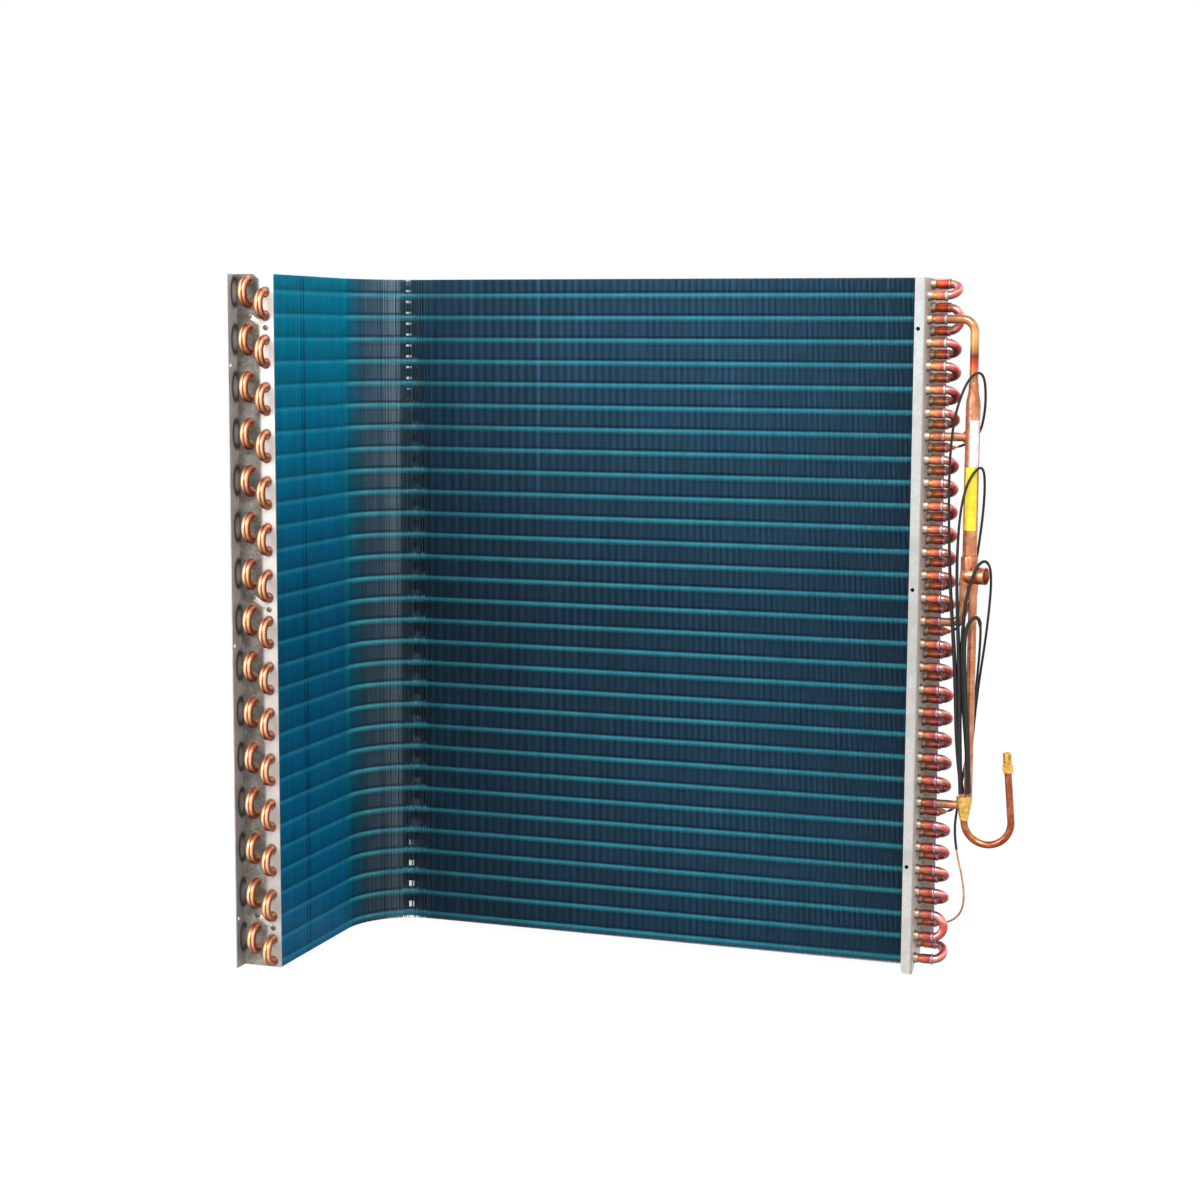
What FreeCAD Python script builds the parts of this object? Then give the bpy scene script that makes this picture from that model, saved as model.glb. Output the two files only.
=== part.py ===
# Condenser coil of an outdoor unit: a two-row finned block bent into an L, its two folded
# end sheets, hairpins, return bends, gas header, distributor and four capillaries.
# Millimetres. X runs along the long leg, +Y to the convex side, +Z up.
# All shapes are drawn from the inner corner of the right-hand sheet and then shifted so
# that the origin lies under the middle of the coil, level with its foot.

import FreeCAD, Part
import Sketcher
import math
import os

Vector = FreeCAD.Vector

# Driving dimensions

SIZES = [
    ("tubesPerRow", 30, "tubes in each of the two rows"),
    ("tubeSpacing", 25.4, "height from one tube to the next"),
    ("rowSpacing", 19.05, "depth from the near row to the far row"),
    ("tubeRadius", 4.76, "three-eighths copper tube"),
    ("finDepth", 38.1, "depth of the fins across both rows"),
    ("longLeg", 658, "concave face of the long leg, from sheet to corner"),
    ("shortLeg", 246, "concave face of the short leg, from sheet to corner"),
    ("cornerRadius", 76, "concave radius of the corner"),
    ("grooveSpacing", 20, "spacing of the gaps drawn between fins"),
    ("grooveMouth", 3, "opening of a gap at the face"),
    ("grooveDepth", 5.5, "depth of a gap"),
    ("cornerGaps", 9, "gaps round the corner"),
    ("sheetWall", 1.2, "thickness of the end sheets"),
    ("holeClearance", 0.25, "room round a tube in its hole"),
    ("rightProud", 6, "right sheet in front of the fins"),
    ("rightBack", 7.4, "right sheet behind the fins"),
    ("rightFlange", 11, "flange bent back over the fins"),
    ("backFlange", 15, "right sheet's flange at the convex side, past the plate"),
    ("backFlangeFoot", 10, "foot of that flange above the fins' foot"),
    ("footDrop", 9, "foot of the right flange below the fins"),
    ("footReach", 21, "width of the foot up the sheet"),
    ("footRound", 4.5, "rounded corners of the foot"),
    ("leftFlange", 18.5, "flange bent away from the fins"),
    ("leftProud", 0.5, "left sheet past the concave face"),
    ("leftBack", 5.9, "left sheet behind the fins, up to its fold"),
    ("chamferWide", 24.4, "cut corner at the top of the left sheet, along it"),
    ("chamferHigh", 20, "cut corner at the top of the left sheet, down it"),
    ("mountHole", 4.5, "diameter of the screw holes in the flanges"),
    ("rightHoleLow", 113, "lowest hole of the right flange"),
    ("rightHoleMid", 423, "middle hole of the right flange"),
    ("rightHoleHigh", 707, "highest hole of the right flange"),
    ("rightHoleSide", 8, "right flange holes, from the fold"),
    ("leftHoleLow", 55, "lowest hole of the left flange"),
    ("leftHoleStep", 304.8, "spacing of the holes in the left flange"),
    ("leftHoleSide", 14, "left flange holes, from the fold"),
    ("tieWidth", 5, "tie strap on the left sheet"),
    ("tieWall", 0.8, "thickness of a tie strap"),
    ("tieInset", 1, "strap ends, from their row towards the middle"),
    ("rivetHead", 3.2, "radius of a strap rivet's head"),
    ("rivetCrown", 2.2, "radius of the flat on top of a rivet's head"),
    ("rivetRise", 1.4, "height of a strap rivet's head"),
    ("tubeEnd", 20.6, "belled tube ends, from the face of the fins"),
    ("hairpinRun", 3.5, "straight part of a hairpin outside the fins"),
    ("gasBend", 14, "bend radius of the gas pipes"),
    ("headerX", 52.3, "axis of the gas header, from the face of the fins"),
    ("headerRadius", 7.94, "five-eighths header tube"),
    ("branchRise", 26.65, "upright stretch of the third circuit's pipe, up to the tee"),
    ("headerLength", 164, "header tube, from the tee to the taper of its neck"),
    ("neckRadius", 5.5, "drawn-down neck of the header"),
    ("neckRise", 18, "length of the neck's taper"),
    ("neckSocket", 6, "length of the neck's socket"),
    ("teeRadius", 9.4, "collar of the tee"),
    ("teeCollar", 11, "height of the collar"),
    ("teeTaper", 22, "height of the taper under the collar"),
    ("branchX", 46.6, "axis of the pipe to the third circuit"),
    ("farPipeX", 56.9, "axis of the pipe to the fourth circuit"),
    ("socketRadius", 5.4, "bell that takes a gas pipe"),
    ("socketRise", 10, "length of that bell"),
    ("outletRadius", 9.52, "three-quarter outlet stub"),
    ("outletWall", 1.1, "wall of the outlet stub"),
    ("outletDepth", 12, "open depth of the outlet stub"),
    ("outletReach", 20, "end of the outlet stub, from the header axis"),
    ("outletDrop", 10, "axis of the outlet stub below the collar"),
    ("outletTurn", 16, "outlet stub turned to the concave side, degrees"),
    ("distributorX", 55.7, "axis of the distributor, from the face of the fins"),
    ("distributorProud", 15.5, "axis of the distributor in front of the near row"),
    ("distributorTop", 198, "top of the distributor"),
    ("distributorHead", 8.8, "radius of the distributor's head"),
    ("headRise", 8, "height of the distributor's head"),
    ("coneRise", 16, "height of the distributor's cone"),
    ("distributorNose", 5, "radius of the distributor's nose"),
    ("noseRise", 3, "height of the nose ring"),
    ("capillaryCircle", 5.5, "radius of the circle of capillary holes"),
    ("capillarySeat", 4, "depth of a capillary in the distributor"),
    ("capillaryRadius", 1.1, "capillary tube"),
    ("capillaryRoom", 0.1, "room round a capillary in the distributor and in its sleeve"),
    ("capillaryStem", 6, "straight stretch of a capillary out of the distributor"),
    ("sleeveWall", 0.5, "wall of a sleeve"),
    ("sleeveStart", 3, "bare capillary at the ends of a sleeve"),
    ("adaptorRun", 9, "length of an adaptor between tube end and capillary"),
    ("adaptorNose", 2.2, "radius of the adaptor at the capillary"),
    ("liquidRadius", 4, "liquid pipe"),
    ("liquidBend", 25.7, "bend radius of the liquid pipe"),
    ("liquidLean", 4.8, "lean of the liquid pipe's free end, degrees"),
    ("liquidRise", 54, "free end of the liquid pipe above its bend"),
    ("hexRadius", 6.6, "hexagon of the end fitting, across corners"),
    ("hexRise", 9, "height of the hexagon"),
    ("threadRadius", 5, "thread of the end fitting"),
    ("threadRise", 13, "length of the thread"),
    ("fittingBore", 3.2, "radius of the fitting's bore"),
    ("labelGap", 0.05, "room between label and header"),
    ("labelWall", 0.25, "thickness of a label"),
    ("labelRise", 28.5, "foot of the yellow label above the header's foot"),
    ("yellowHeight", 68.5, "height of the yellow label"),
    ("whiteHeight", 51, "height of the white label above it"),
    ("whiteTurn", 298, "direction that the white label faces, degrees"),
    ("whiteWrap", 75, "part of the header that the white label covers, degrees"),
    ("yellowTurn", 277, "direction that the yellow label faces, degrees"),
    ("yellowWrap", 97, "part of the header that the yellow label covers, degrees"),
]

doc = FreeCAD.newDocument("condenser_coil")
sheet = doc.addObject("Spreadsheet::Sheet", "Sizes")
for row, (alias, value, meaning) in enumerate(SIZES, start=1):
    sheet.set(f"A{row}", alias)
    sheet.set(f"B{row}", str(value))
    sheet.set(f"C{row}", meaning)
    sheet.setAlias(f"B{row}", alias)
doc.recompute()


def size(alias):
    """Value of a driving dimension."""
    return float(getattr(sheet, alias))


# Places that follow from the driving dimensions, as formulas for the objects and as numbers

S = {alias: f"Sizes.{alias}" for alias, value, meaning in SIZES}
FIN_HEIGHT = "Sizes.tubesPerRow * Sizes.tubeSpacing"
NEAR_ROW = "(Sizes.finDepth - Sizes.rowSpacing) / 2"
FAR_ROW = "(Sizes.finDepth + Sizes.rowSpacing) / 2"
STRAIGHT_LONG = "(Sizes.longLeg - Sizes.cornerRadius)"
STRAIGHT_SHORT = "(Sizes.shortLeg - Sizes.cornerRadius)"
OUTER_CORNER = "(Sizes.longLeg + Sizes.finDepth)"
LEFT_FOLD = "(Sizes.longLeg + Sizes.finDepth + Sizes.leftBack + Sizes.sheetWall)"
LIQUID_REACH = "(Sizes.distributorX + 2 * Sizes.liquidBend + Sizes.liquidRadius)"

finHeight = size("tubesPerRow") * size("tubeSpacing")
nearRow = (size("finDepth") - size("rowSpacing")) / 2
farRow = nearRow + size("rowSpacing")
tubeCount = int(size("tubesPerRow"))
RISE_NEAR = 0.25
RISE_FAR = 0.75


def nearHeight(tube):
    """Height of a tube of the near row, the first at the top."""
    return finHeight - (tube - RISE_NEAR) * size("tubeSpacing")


def farHeight(tube):
    """Height of a tube of the far row, half a pitch above the near one."""
    return finHeight - (tube - RISE_FAR) * size("tubeSpacing")


def nearHeightText(tube):
    return f"(Sizes.tubesPerRow - {tube - RISE_NEAR}) * Sizes.tubeSpacing"


def farHeightText(tube):
    return f"(Sizes.tubesPerRow - {tube - RISE_FAR}) * Sizes.tubeSpacing"


# The shift from the drawing corner to the middle of the coil

BEND_CHORDS = 4
HALF_CHORD = f"cos({90 / BEND_CHORDS} deg)"
HAIRPIN_LOOP = f"Sizes.tubeSpacing / 2 / sqrt({HALF_CHORD}) + Sizes.tubeRadius / {HALF_CHORD}"
HAIRPIN_REACH = f"(Sizes.shortLeg + Sizes.hairpinRun + {HAIRPIN_LOOP})"
SHIFT_X = f"({LEFT_FOLD} - {LIQUID_REACH}) / 2"
SHIFT_Y = f"({HAIRPIN_REACH} - Sizes.finDepth - Sizes.rightBack) / 2"
SHIFT_Z = "Sizes.footDrop"


def evaluate(text):
    """Number that a formula of the sheet gives."""
    return float(sheet.evalExpression(text))


shift = Vector(evaluate(SHIFT_X), evaluate(SHIFT_Y), evaluate(SHIFT_Z))
pieces = []


def place(piece, name):
    """Name a finished piece and shift it to the middle of the coil."""
    piece.Label = name
    piece.Placement.Base = shift
    piece.setExpression("Placement.Base.x", SHIFT_X)
    piece.setExpression("Placement.Base.y", SHIFT_Y)
    piece.setExpression("Placement.Base.z", SHIFT_Z)
    pieces.append(piece)


# Bodies and sketches

def newBody(name):
    body = doc.addObject("PartDesign::Body", name)
    body.AllowCompound = True
    return body


def originFeature(body, role):
    return [feature for feature in body.Origin.OriginFeatures if feature.Role == role][0]


def newSketch(body, name, plane, lift="0"):
    """Sketch on an origin plane of its own body, lifted along the plane's normal."""
    sketch = body.newObject("Sketcher::SketchObject", name)
    sketch.AttachmentSupport = [(originFeature(body, plane), "")]
    sketch.MapMode = "FlatFace"
    sketch.AttachmentOffset = FreeCAD.Placement(Vector(0, 0, evaluate(lift)), FreeCAD.Rotation())
    sketch.setExpression("AttachmentOffset.Base.z", lift)
    return sketch


def pin(sketch, edge, end, across, up):
    """Hold a sketch point at two formulas, measured from the sketch's origin."""
    for kind, text in (("DistanceX", across), ("DistanceY", up)):
        index = sketch.addConstraint(Sketcher.Constraint(kind, -1, 1, edge, end, evaluate(text)))
        sketch.setExpression(f"Constraints[{index}]", text)


def outline(sketch, corners):
    """Closed outline with every corner held at a pair of formulas."""
    places = [Vector(evaluate(across), evaluate(up), 0) for across, up in corners]
    first = sketch.GeometryCount
    for corner, (across, up) in enumerate(corners):
        following = (corner + 1) % len(corners)
        edge = sketch.addGeometry(Part.LineSegment(places[corner], places[following]), False)
        pin(sketch, edge, 1, across, up)
    for corner in range(len(corners)):
        following = (corner + 1) % len(corners)
        sketch.addConstraint(Sketcher.Constraint("Coincident", first + corner, 2, first + following, 1))


def circle(sketch, across, up, radius):
    middle = Vector(evaluate(across), evaluate(up), 0)
    edge = sketch.addGeometry(Part.Circle(middle, Vector(0, 0, 1), evaluate(radius)), False)
    pin(sketch, edge, 3, across, up)
    index = sketch.addConstraint(Sketcher.Constraint("Radius", edge, evaluate(radius)))
    sketch.setExpression(f"Constraints[{index}]", radius)


def pad(body, name, sketch, length, backwards=False):
    feature = body.newObject("PartDesign::Pad", name)
    feature.Profile = sketch
    feature.Length = evaluate(length)
    feature.setExpression("Length", length)
    feature.Reversed = backwards
    body.Tip = feature
    return feature


def pocket(body, name, sketch, backwards=False):
    """Cut the sketch right through the body, to one side of its plane."""
    feature = body.newObject("PartDesign::Pocket", name)
    feature.Profile = sketch
    feature.Type = "ThroughAll"
    feature.Reversed = backwards
    body.Tip = feature
    return feature


def repeat(body, name, feature, axis, step, count, backwards=False):
    """Repeat a feature in a line at an even step."""
    pattern = body.newObject("PartDesign::LinearPattern", name)
    pattern.Originals = [feature]
    pattern.Direction = (originFeature(body, axis), [""])
    pattern.Reversed = backwards
    pattern.Mode = "Spacing"
    pattern.Offset = evaluate(step)
    pattern.setExpression("Offset", step)
    pattern.Occurrences = round(evaluate(count))
    pattern.setExpression("Occurrences", count)
    body.Tip = pattern
    return pattern


# Fins: each leg is one block with upright gaps in both faces, spaced wider than the real fins

def gapOutline(sketch, axisFirst, start, face, depth):
    """Notch of one gap; axisFirst says whether the leg runs along the sketch's first axis."""
    corners = [(f"{start} - Sizes.grooveMouth / 2", face), (f"{start} + Sizes.grooveMouth / 2", face),
               (start, f"{face} + {depth}")]
    if not axisFirst:
        corners = [(across, up) for up, across in corners]
    outline(sketch, corners)


def finsLongLeg():
    body = newBody("LongLeg")
    block = newSketch(body, "LongLegOutline", "XY_Plane")
    outline(block, [("0", "0"), ("0", S["finDepth"]),
                    (f"-{STRAIGHT_LONG}", S["finDepth"]), (f"-{STRAIGHT_LONG}", "0")])
    pad(body, "LongLegBlock", block, FIN_HEIGHT)
    gaps = newSketch(body, "LongLegGapOutline", "XY_Plane")
    start = "-Sizes.grooveSpacing / 2"
    gapOutline(gaps, True, start, "0", "Sizes.grooveDepth")
    gapOutline(gaps, True, start, S["finDepth"], "-Sizes.grooveDepth")
    gap = pocket(body, "LongLegGap", gaps, backwards=True)
    repeat(body, "LongLegGaps", gap, "X_Axis", S["grooveSpacing"],
           f"floor({STRAIGHT_LONG} / Sizes.grooveSpacing)", backwards=True)
    place(body, "fins_long_leg")


def finsShortLeg():
    body = newBody("ShortLeg")
    block = newSketch(body, "ShortLegOutline", "XY_Plane")
    near = f"-{S['longLeg']}"
    far = f"-{OUTER_CORNER}"
    outline(block, [(near, f"-{S['shortLeg']}"), (near, f"-{S['cornerRadius']}"),
                    (far, f"-{S['cornerRadius']}"), (far, f"-{S['shortLeg']}")])
    pad(body, "ShortLegBlock", block, FIN_HEIGHT)
    gaps = newSketch(body, "ShortLegGapOutline", "XY_Plane")
    start = "-Sizes.cornerRadius - Sizes.grooveSpacing / 2"
    gapOutline(gaps, False, start, near, "-Sizes.grooveDepth")
    gapOutline(gaps, False, start, far, "Sizes.grooveDepth")
    gap = pocket(body, "ShortLegGap", gaps, backwards=True)
    repeat(body, "ShortLegGaps", gap, "Y_Axis", S["grooveSpacing"],
           f"floor({STRAIGHT_SHORT} / Sizes.grooveSpacing)", backwards=True)
    place(body, "fins_short_leg")


def finsCorner():
    """Quarter ring of fins; between two gaps the face of the fins is drawn flat."""
    gaps = int(size("cornerGaps"))
    step = math.pi / 2 / gaps
    middle = Vector(-size("longLeg") + size("cornerRadius"), -size("cornerRadius"), 0)

    def ringPoint(radius, turn):
        return middle + Vector(-math.sin(turn), math.cos(turn), 0) * radius

    def face(radius, depth):
        """Zigzag of one face, from the long leg to the short one."""
        half = size("grooveMouth") / 2 / radius
        points = [ringPoint(radius, 0)]
        for gap in range(gaps):
            turn = (gap + 0.5) * step
            points.append(ringPoint(radius, turn - half))
            points.append(ringPoint(radius + depth, turn))
            points.append(ringPoint(radius, turn + half))
        return points + [ringPoint(radius, math.pi / 2)]

    inner = face(size("cornerRadius"), size("grooveDepth"))
    outer = face(size("cornerRadius") + size("finDepth"), -size("grooveDepth"))
    ring = Part.Face(Part.makePolygon(inner + outer[::-1] + inner[:1]))
    piece = doc.addObject("Part::Feature", "Corner")
    piece.Shape = ring.extrude(Vector(0, 0, finHeight))
    place(piece, "fins_corner")


# End sheets

HOLE_SIDES = 6
ROUND_CORNER = "Sizes.footRound * (1 - cos(45 deg))"
HOLE_RADIUS = "(Sizes.tubeRadius + Sizes.holeClearance)"


def holeOutline(sketch, across, up):
    """Tube hole, drawn with few sides because 120 of them repeat."""
    corners = []
    for side in range(HOLE_SIDES):
        turn = 360 / HOLE_SIDES * side
        corners.append((f"{across} + {HOLE_RADIUS} * cos({turn} deg) / cos({180 / HOLE_SIDES} deg)",
                        f"{up} + {HOLE_RADIUS} * sin({turn} deg) / cos({180 / HOLE_SIDES} deg)"))
    outline(sketch, corners)


def rightSheet():
    body = newBody("RightSheet")
    front = f"-{S['rightProud']}"
    back = "Sizes.finDepth + Sizes.rightBack"
    foot = f"-{S['footDrop']}"
    plate = newSketch(body, "RightPlateOutline", "YZ_Plane")
    outline(plate, [(front, foot), (f"{front} + Sizes.footRound", foot),
                    (f"{front} + Sizes.footReach", "0"), (back, "0"),
                    (back, FIN_HEIGHT), (front, FIN_HEIGHT)])
    pad(body, "RightPlate", plate, S["sheetWall"])
    flange = newSketch(body, "RightFlangeOutline", "XZ_Plane", S["rightProud"])
    outer = f"-{S['rightFlange']}"
    outline(flange, [(S["sheetWall"], FIN_HEIGHT), (S["sheetWall"], foot),
                     (f"{outer} + Sizes.footRound", foot),
                     (f"{outer} + {ROUND_CORNER}", f"{foot} + {ROUND_CORNER}"),
                     (outer, f"{foot} + Sizes.footRound"), (outer, FIN_HEIGHT)])
    pad(body, "RightFlange", flange, S["sheetWall"], backwards=True)
    behind = newSketch(body, "RightBackFlangeOutline", "XZ_Plane", f"-({back})")
    rim = "Sizes.sheetWall + Sizes.backFlange"
    outline(behind, [("0", S["backFlangeFoot"]), (rim, S["backFlangeFoot"]), (rim, FIN_HEIGHT), ("0", FIN_HEIGHT)])
    pad(body, "RightBackFlange", behind, S["sheetWall"])
    screws = newSketch(body, "RightScrewHoles", "XZ_Plane", S["rightProud"])
    for height in ("rightHoleLow", "rightHoleMid", "rightHoleHigh"):
        circle(screws, "Sizes.sheetWall - Sizes.rightHoleSide", S[height], "Sizes.mountHole / 2")
    pocket(body, "RightScrews", screws)
    tubes = newSketch(body, "RightTubeHoles", "YZ_Plane")
    holeOutline(tubes, NEAR_ROW, nearHeightText(1))
    holeOutline(tubes, FAR_ROW, farHeightText(1))
    hole = pocket(body, "RightTubes", tubes, backwards=True)
    repeat(body, "RightTubeRows", hole, "Z_Axis", S["tubeSpacing"], S["tubesPerRow"], backwards=True)
    place(body, "tube_sheet_right")


def leftSheet():
    body = newBody("LeftSheet")
    near = "-Sizes.longLeg + Sizes.leftProud"
    fold = f"-{LEFT_FOLD}"
    plate = newSketch(body, "LeftPlateOutline", "XZ_Plane", S["shortLeg"])
    outline(plate, [(near, "0"), (near, f"{FIN_HEIGHT} - Sizes.chamferHigh"),
                    (f"{near} - Sizes.chamferWide", FIN_HEIGHT), (fold, FIN_HEIGHT), (fold, "0")])
    pad(body, "LeftPlate", plate, S["sheetWall"])
    flange = newSketch(body, "LeftFlangeOutline", "YZ_Plane", fold)
    root = "-Sizes.shortLeg - Sizes.sheetWall"
    rim = f"{root} - Sizes.leftFlange"
    outline(flange, [(root, "0"), (root, FIN_HEIGHT), (rim, FIN_HEIGHT), (rim, "0")])
    pad(body, "LeftFlange", flange, S["sheetWall"])
    screws = newSketch(body, "LeftScrewHoles", "YZ_Plane", fold)
    for hole in range(3):
        height = f"Sizes.leftHoleLow + {hole} * Sizes.leftHoleStep"
        circle(screws, f"{root} - Sizes.leftHoleSide", height, "Sizes.mountHole / 2")
    pocket(body, "LeftScrews", screws, backwards=True)
    tubes = newSketch(body, "LeftTubeHoles", "XZ_Plane", S["shortLeg"])
    holeOutline(tubes, f"-Sizes.longLeg - {NEAR_ROW}", nearHeightText(1))
    holeOutline(tubes, f"-Sizes.longLeg - {FAR_ROW}", farHeightText(1))
    hole = pocket(body, "LeftTubes", tubes, backwards=True)
    repeat(body, "LeftTubeRows", hole, "Z_Axis", S["tubeSpacing"], S["tubesPerRow"], backwards=True)
    place(body, "tube_sheet_left")


# Round pieces drawn with flat sides, because dozens of them repeat

def closedSolid(rings):
    """Solid whose walls join each ring of corners to the next, closed at both ends."""
    walls = []
    for before, after in zip(rings, rings[1:]):
        for corner in range(len(before)):
            following = (corner + 1) % len(before)
            walls.append(Part.Face(Part.makePolygon(
                [before[corner], before[following], after[following], after[corner], before[corner]])))
    for ring in (rings[0], rings[-1]):
        walls.append(Part.Face(Part.makePolygon(ring + ring[:1])))
    solid = Part.Solid(Part.Shell(walls))
    if solid.Volume < 0:
        solid.reverse()
    return solid


def ringAround(middle, run, radius, sides):
    """Even corners on a circle that faces along run, with a flat at the top."""
    side = run.cross(Vector(0, 0, 1))
    if side.Length < 0.1:
        side = run.cross(Vector(0, 1, 0))
    side.normalize()
    up = side.cross(run)
    turns = [2 * math.pi * (corner + 0.5) / sides for corner in range(sides)]
    return [middle + side * radius * math.cos(turn) + up * radius * math.sin(turn) for turn in turns]


def slide(ring, run, point, normal):
    """Ring of corners moved along run until it lies in the plane through point."""
    return [corner + run * ((point - corner).dot(normal) / run.dot(normal)) for corner in ring]


def flatTube(points, radius, sides, first=None, last=None):
    """Tube along straight runs, mitred in the plane that halves each turn. Its end faces
    are square to the end runs, or look along the directions first and last."""
    runs = [(after - before).normalize() for before, after in zip(points, points[1:])]
    ring = slide(ringAround(points[0], runs[0], radius, sides), runs[0], points[0], first or runs[0])
    rings = [ring]
    for point, run, following in zip(points[1:], runs, runs[1:]):
        rings.append(slide(rings[-1], run, point, run + following))
    rings.append(slide(rings[-1], runs[-1], points[-1], last or runs[-1]))
    return closedSolid(rings)


def flatTurned(foot, axis, profile, sides):
    """Turned piece with flat sides; profile is pairs of radius and distance along axis."""
    return closedSolid([ringAround(foot + axis * along, axis, radius, sides) for radius, along in profile])


TUBE_SIDES = 6
PIPE_SIDES = 12


def bend(start, end, out):
    """Half round bend between two tube ends in a few chords, which lie half outside and
    half inside the true circle."""
    middle = (start + end) / 2
    across = (start - end) / 2
    swell = 1 / math.sqrt(evaluate(HALF_CHORD))
    points = [start]
    for chord in range(1, BEND_CHORDS):
        turn = math.pi * chord / BEND_CHORDS
        points.append(middle + (across * math.cos(turn) + out * across.Length * math.sin(turn)) * swell)
    return points + [end]


def group(name, solids):
    piece = doc.addObject("Part::Feature", name.title().replace("_", ""))
    piece.Shape = Part.makeCompound(solids)
    place(piece, name)


def hairpins():
    """Ends of the hairpin tubes, which come through the left sheet from the fins' face."""
    out = Vector(0, -1, 0)
    straight = out * size("hairpinRun")
    for row, depth, height in (("inner", nearRow, nearHeight), ("outer", farRow, farHeight)):
        solids = []
        for tube in range(1, tubeCount, 2):
            start = Vector(-size("longLeg") - depth, -size("shortLeg"), height(tube))
            end = Vector(start.x, start.y, height(tube + 1))
            path = [start] + bend(start + straight, end + straight, out) + [end]
            solids.append(flatTube(path, size("tubeRadius"), TUBE_SIDES))
        group(f"hairpins_{row}_row", solids)


def tubeEnds():
    """Tubes that stand out of the right sheet, up to their belled ends."""
    for row, depth, height in (("inner", nearRow, nearHeight), ("outer", farRow, farHeight)):
        solids = []
        for tube in range(1, tubeCount + 1):
            start = Vector(0, depth, height(tube))
            end = start + Vector(size("tubeEnd"), 0, 0)
            solids.append(flatTube([start, end], size("tubeRadius"), TUBE_SIDES))
        group(f"tube_ends_{row}_row", solids)


def nearEnd(tube):
    return Vector(size("tubeEnd"), nearRow, nearHeight(tube))


def farEnd(tube):
    return Vector(size("tubeEnd"), farRow, farHeight(tube))


def returnBends():
    """Bends of the four circuits. A slanted bend joins a near tube to the far tube below it."""
    slanted = {1: range(3, 7), 2: range(8, 15), 3: range(16, 23), 4: range(24, 28)}
    others = {1: [(nearEnd(1), farEnd(1)), (farEnd(2), farEnd(3))], 2: [], 3: [],
              4: [(nearEnd(28), nearEnd(29)), (nearEnd(tubeCount), farEnd(tubeCount))]}
    out = Vector(1, 0, 0)
    for circuit, tubes in slanted.items():
        pairs = [(nearEnd(tube), farEnd(tube + 1)) for tube in tubes] + others[circuit]
        solids = [flatTube(bend(start, end, out), size("tubeRadius"), TUBE_SIDES, out, -out)
                  for start, end in pairs]
        group(f"return_bends_circuit_{circuit}", solids)


# Tie straps and their rivets on the left sheet

STRAP_TUBES = (2, 14, 28)


def tieStraps():
    straps = []
    rivets = []
    face = -size("shortLeg") - size("sheetWall")
    for tube in STRAP_TUBES:
        upper = Vector(-size("longLeg") - farRow + size("tieInset"), face, farHeight(tube + 0.5))
        lower = Vector(-size("longLeg") - nearRow + size("tieInset"), face, nearHeight(tube + 0.5))
        run = lower - upper
        along = Vector(run).normalize()
        across = Vector(along.z, 0, -along.x) * (size("tieWidth") / 2)
        grip = size("rivetHead")
        first = upper - along * grip
        last = lower + along * grip
        corners = [first + across, last + across, last - across, first - across, first + across]
        strap = Part.Face(Part.makePolygon(corners)).extrude(Vector(0, -size("tieWall"), 0))
        for end in (upper, lower):
            top = end - Vector(0, size("tieWall"), 0)
            rivets.append(flatTurned(top, Vector(0, -1, 0), [
                (size("rivetHead"), 0), (size("rivetHead"), size("rivetRise") / 2),
                (size("rivetCrown"), size("rivetRise"))], TUBE_SIDES))
        straps.append(strap)
    group("tie_straps", straps)
    group("strap_rivets", rivets)


# Gas side

HEADER_SIDES = 16
ELBOW_CHORDS = 5
GAS_TUBES = {1: 2, 2: 7, 3: 15, 4: 23}


def headerFoot():
    """Where the header enters the tee, above the elbow of the third circuit's pipe."""
    elbowTop = nearHeight(GAS_TUBES[3]) + size("gasBend")
    return elbowTop + size("branchRise") + size("teeTaper") + size("teeCollar")


def headerTop():
    """Where the header reaches its full width under the neck."""
    return headerFoot() + size("headerLength")


def elbow(corner, before, after, radius, chords):
    """Points of an arc that rounds a corner between the directions before and after."""
    turn = before.getAngle(after)
    start = corner - before * (radius * math.tan(turn / 2))
    side = (after - before * before.dot(after)).normalize()
    centre = start + side * radius
    return [centre + (before * math.sin(part) - side * math.cos(part)) * radius
            for part in (turn * chord / chords for chord in range(chords + 1))]


def gasPipe(tube, pipeX, top):
    """Pipe from a near tube end, round an elbow, upright at pipeX to the height top."""
    start = nearEnd(tube)
    corner = Vector(pipeX, nearRow, nearHeight(tube))
    upright = Vector(0, 0, 1 if top > corner.z else -1)
    path = [start] + elbow(corner, Vector(1, 0, 0), upright, size("gasBend"), ELBOW_CHORDS)
    return flatTube(path + [Vector(pipeX, nearRow, top)], size("tubeRadius"), PIPE_SIDES)


def gasPipes():
    neckTop = headerTop() + size("neckRise") + size("neckSocket")
    taperFoot = headerFoot() - size("teeCollar") - size("teeTaper")
    group("gas_pipe_circuit_1", [gasPipe(GAS_TUBES[1], size("headerX"), neckTop)])
    group("gas_pipe_circuit_3", [gasPipe(GAS_TUBES[3], size("branchX"), taperFoot)])
    group("gas_pipe_circuit_4", [gasPipe(GAS_TUBES[4], size("farPipeX"), bellFoot())])


def gasHeader():
    """Header tube with its drawn-down neck, and the short branch into its side."""
    height = size("headerLength")
    neck = height + size("neckRise")
    header = flatTurned(Vector(size("headerX"), nearRow, headerFoot()), Vector(0, 0, 1), [
        (size("headerRadius"), 0), (size("headerRadius"), height),
        (size("neckRadius"), neck), (size("neckRadius"), neck + size("neckSocket"))], HEADER_SIDES)
    group("gas_header", [header])
    start = nearEnd(GAS_TUBES[2])
    branch = flatTube([start, Vector(size("headerX"), start.y, start.z)], size("tubeRadius"), PIPE_SIDES)
    group("gas_branch_circuit_2", [branch.cut(header)])


def outletHeight():
    return headerFoot() - size("teeCollar") - size("outletDrop")


def bellFoot():
    return outletHeight() - size("outletRadius") - size("socketRise")


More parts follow.
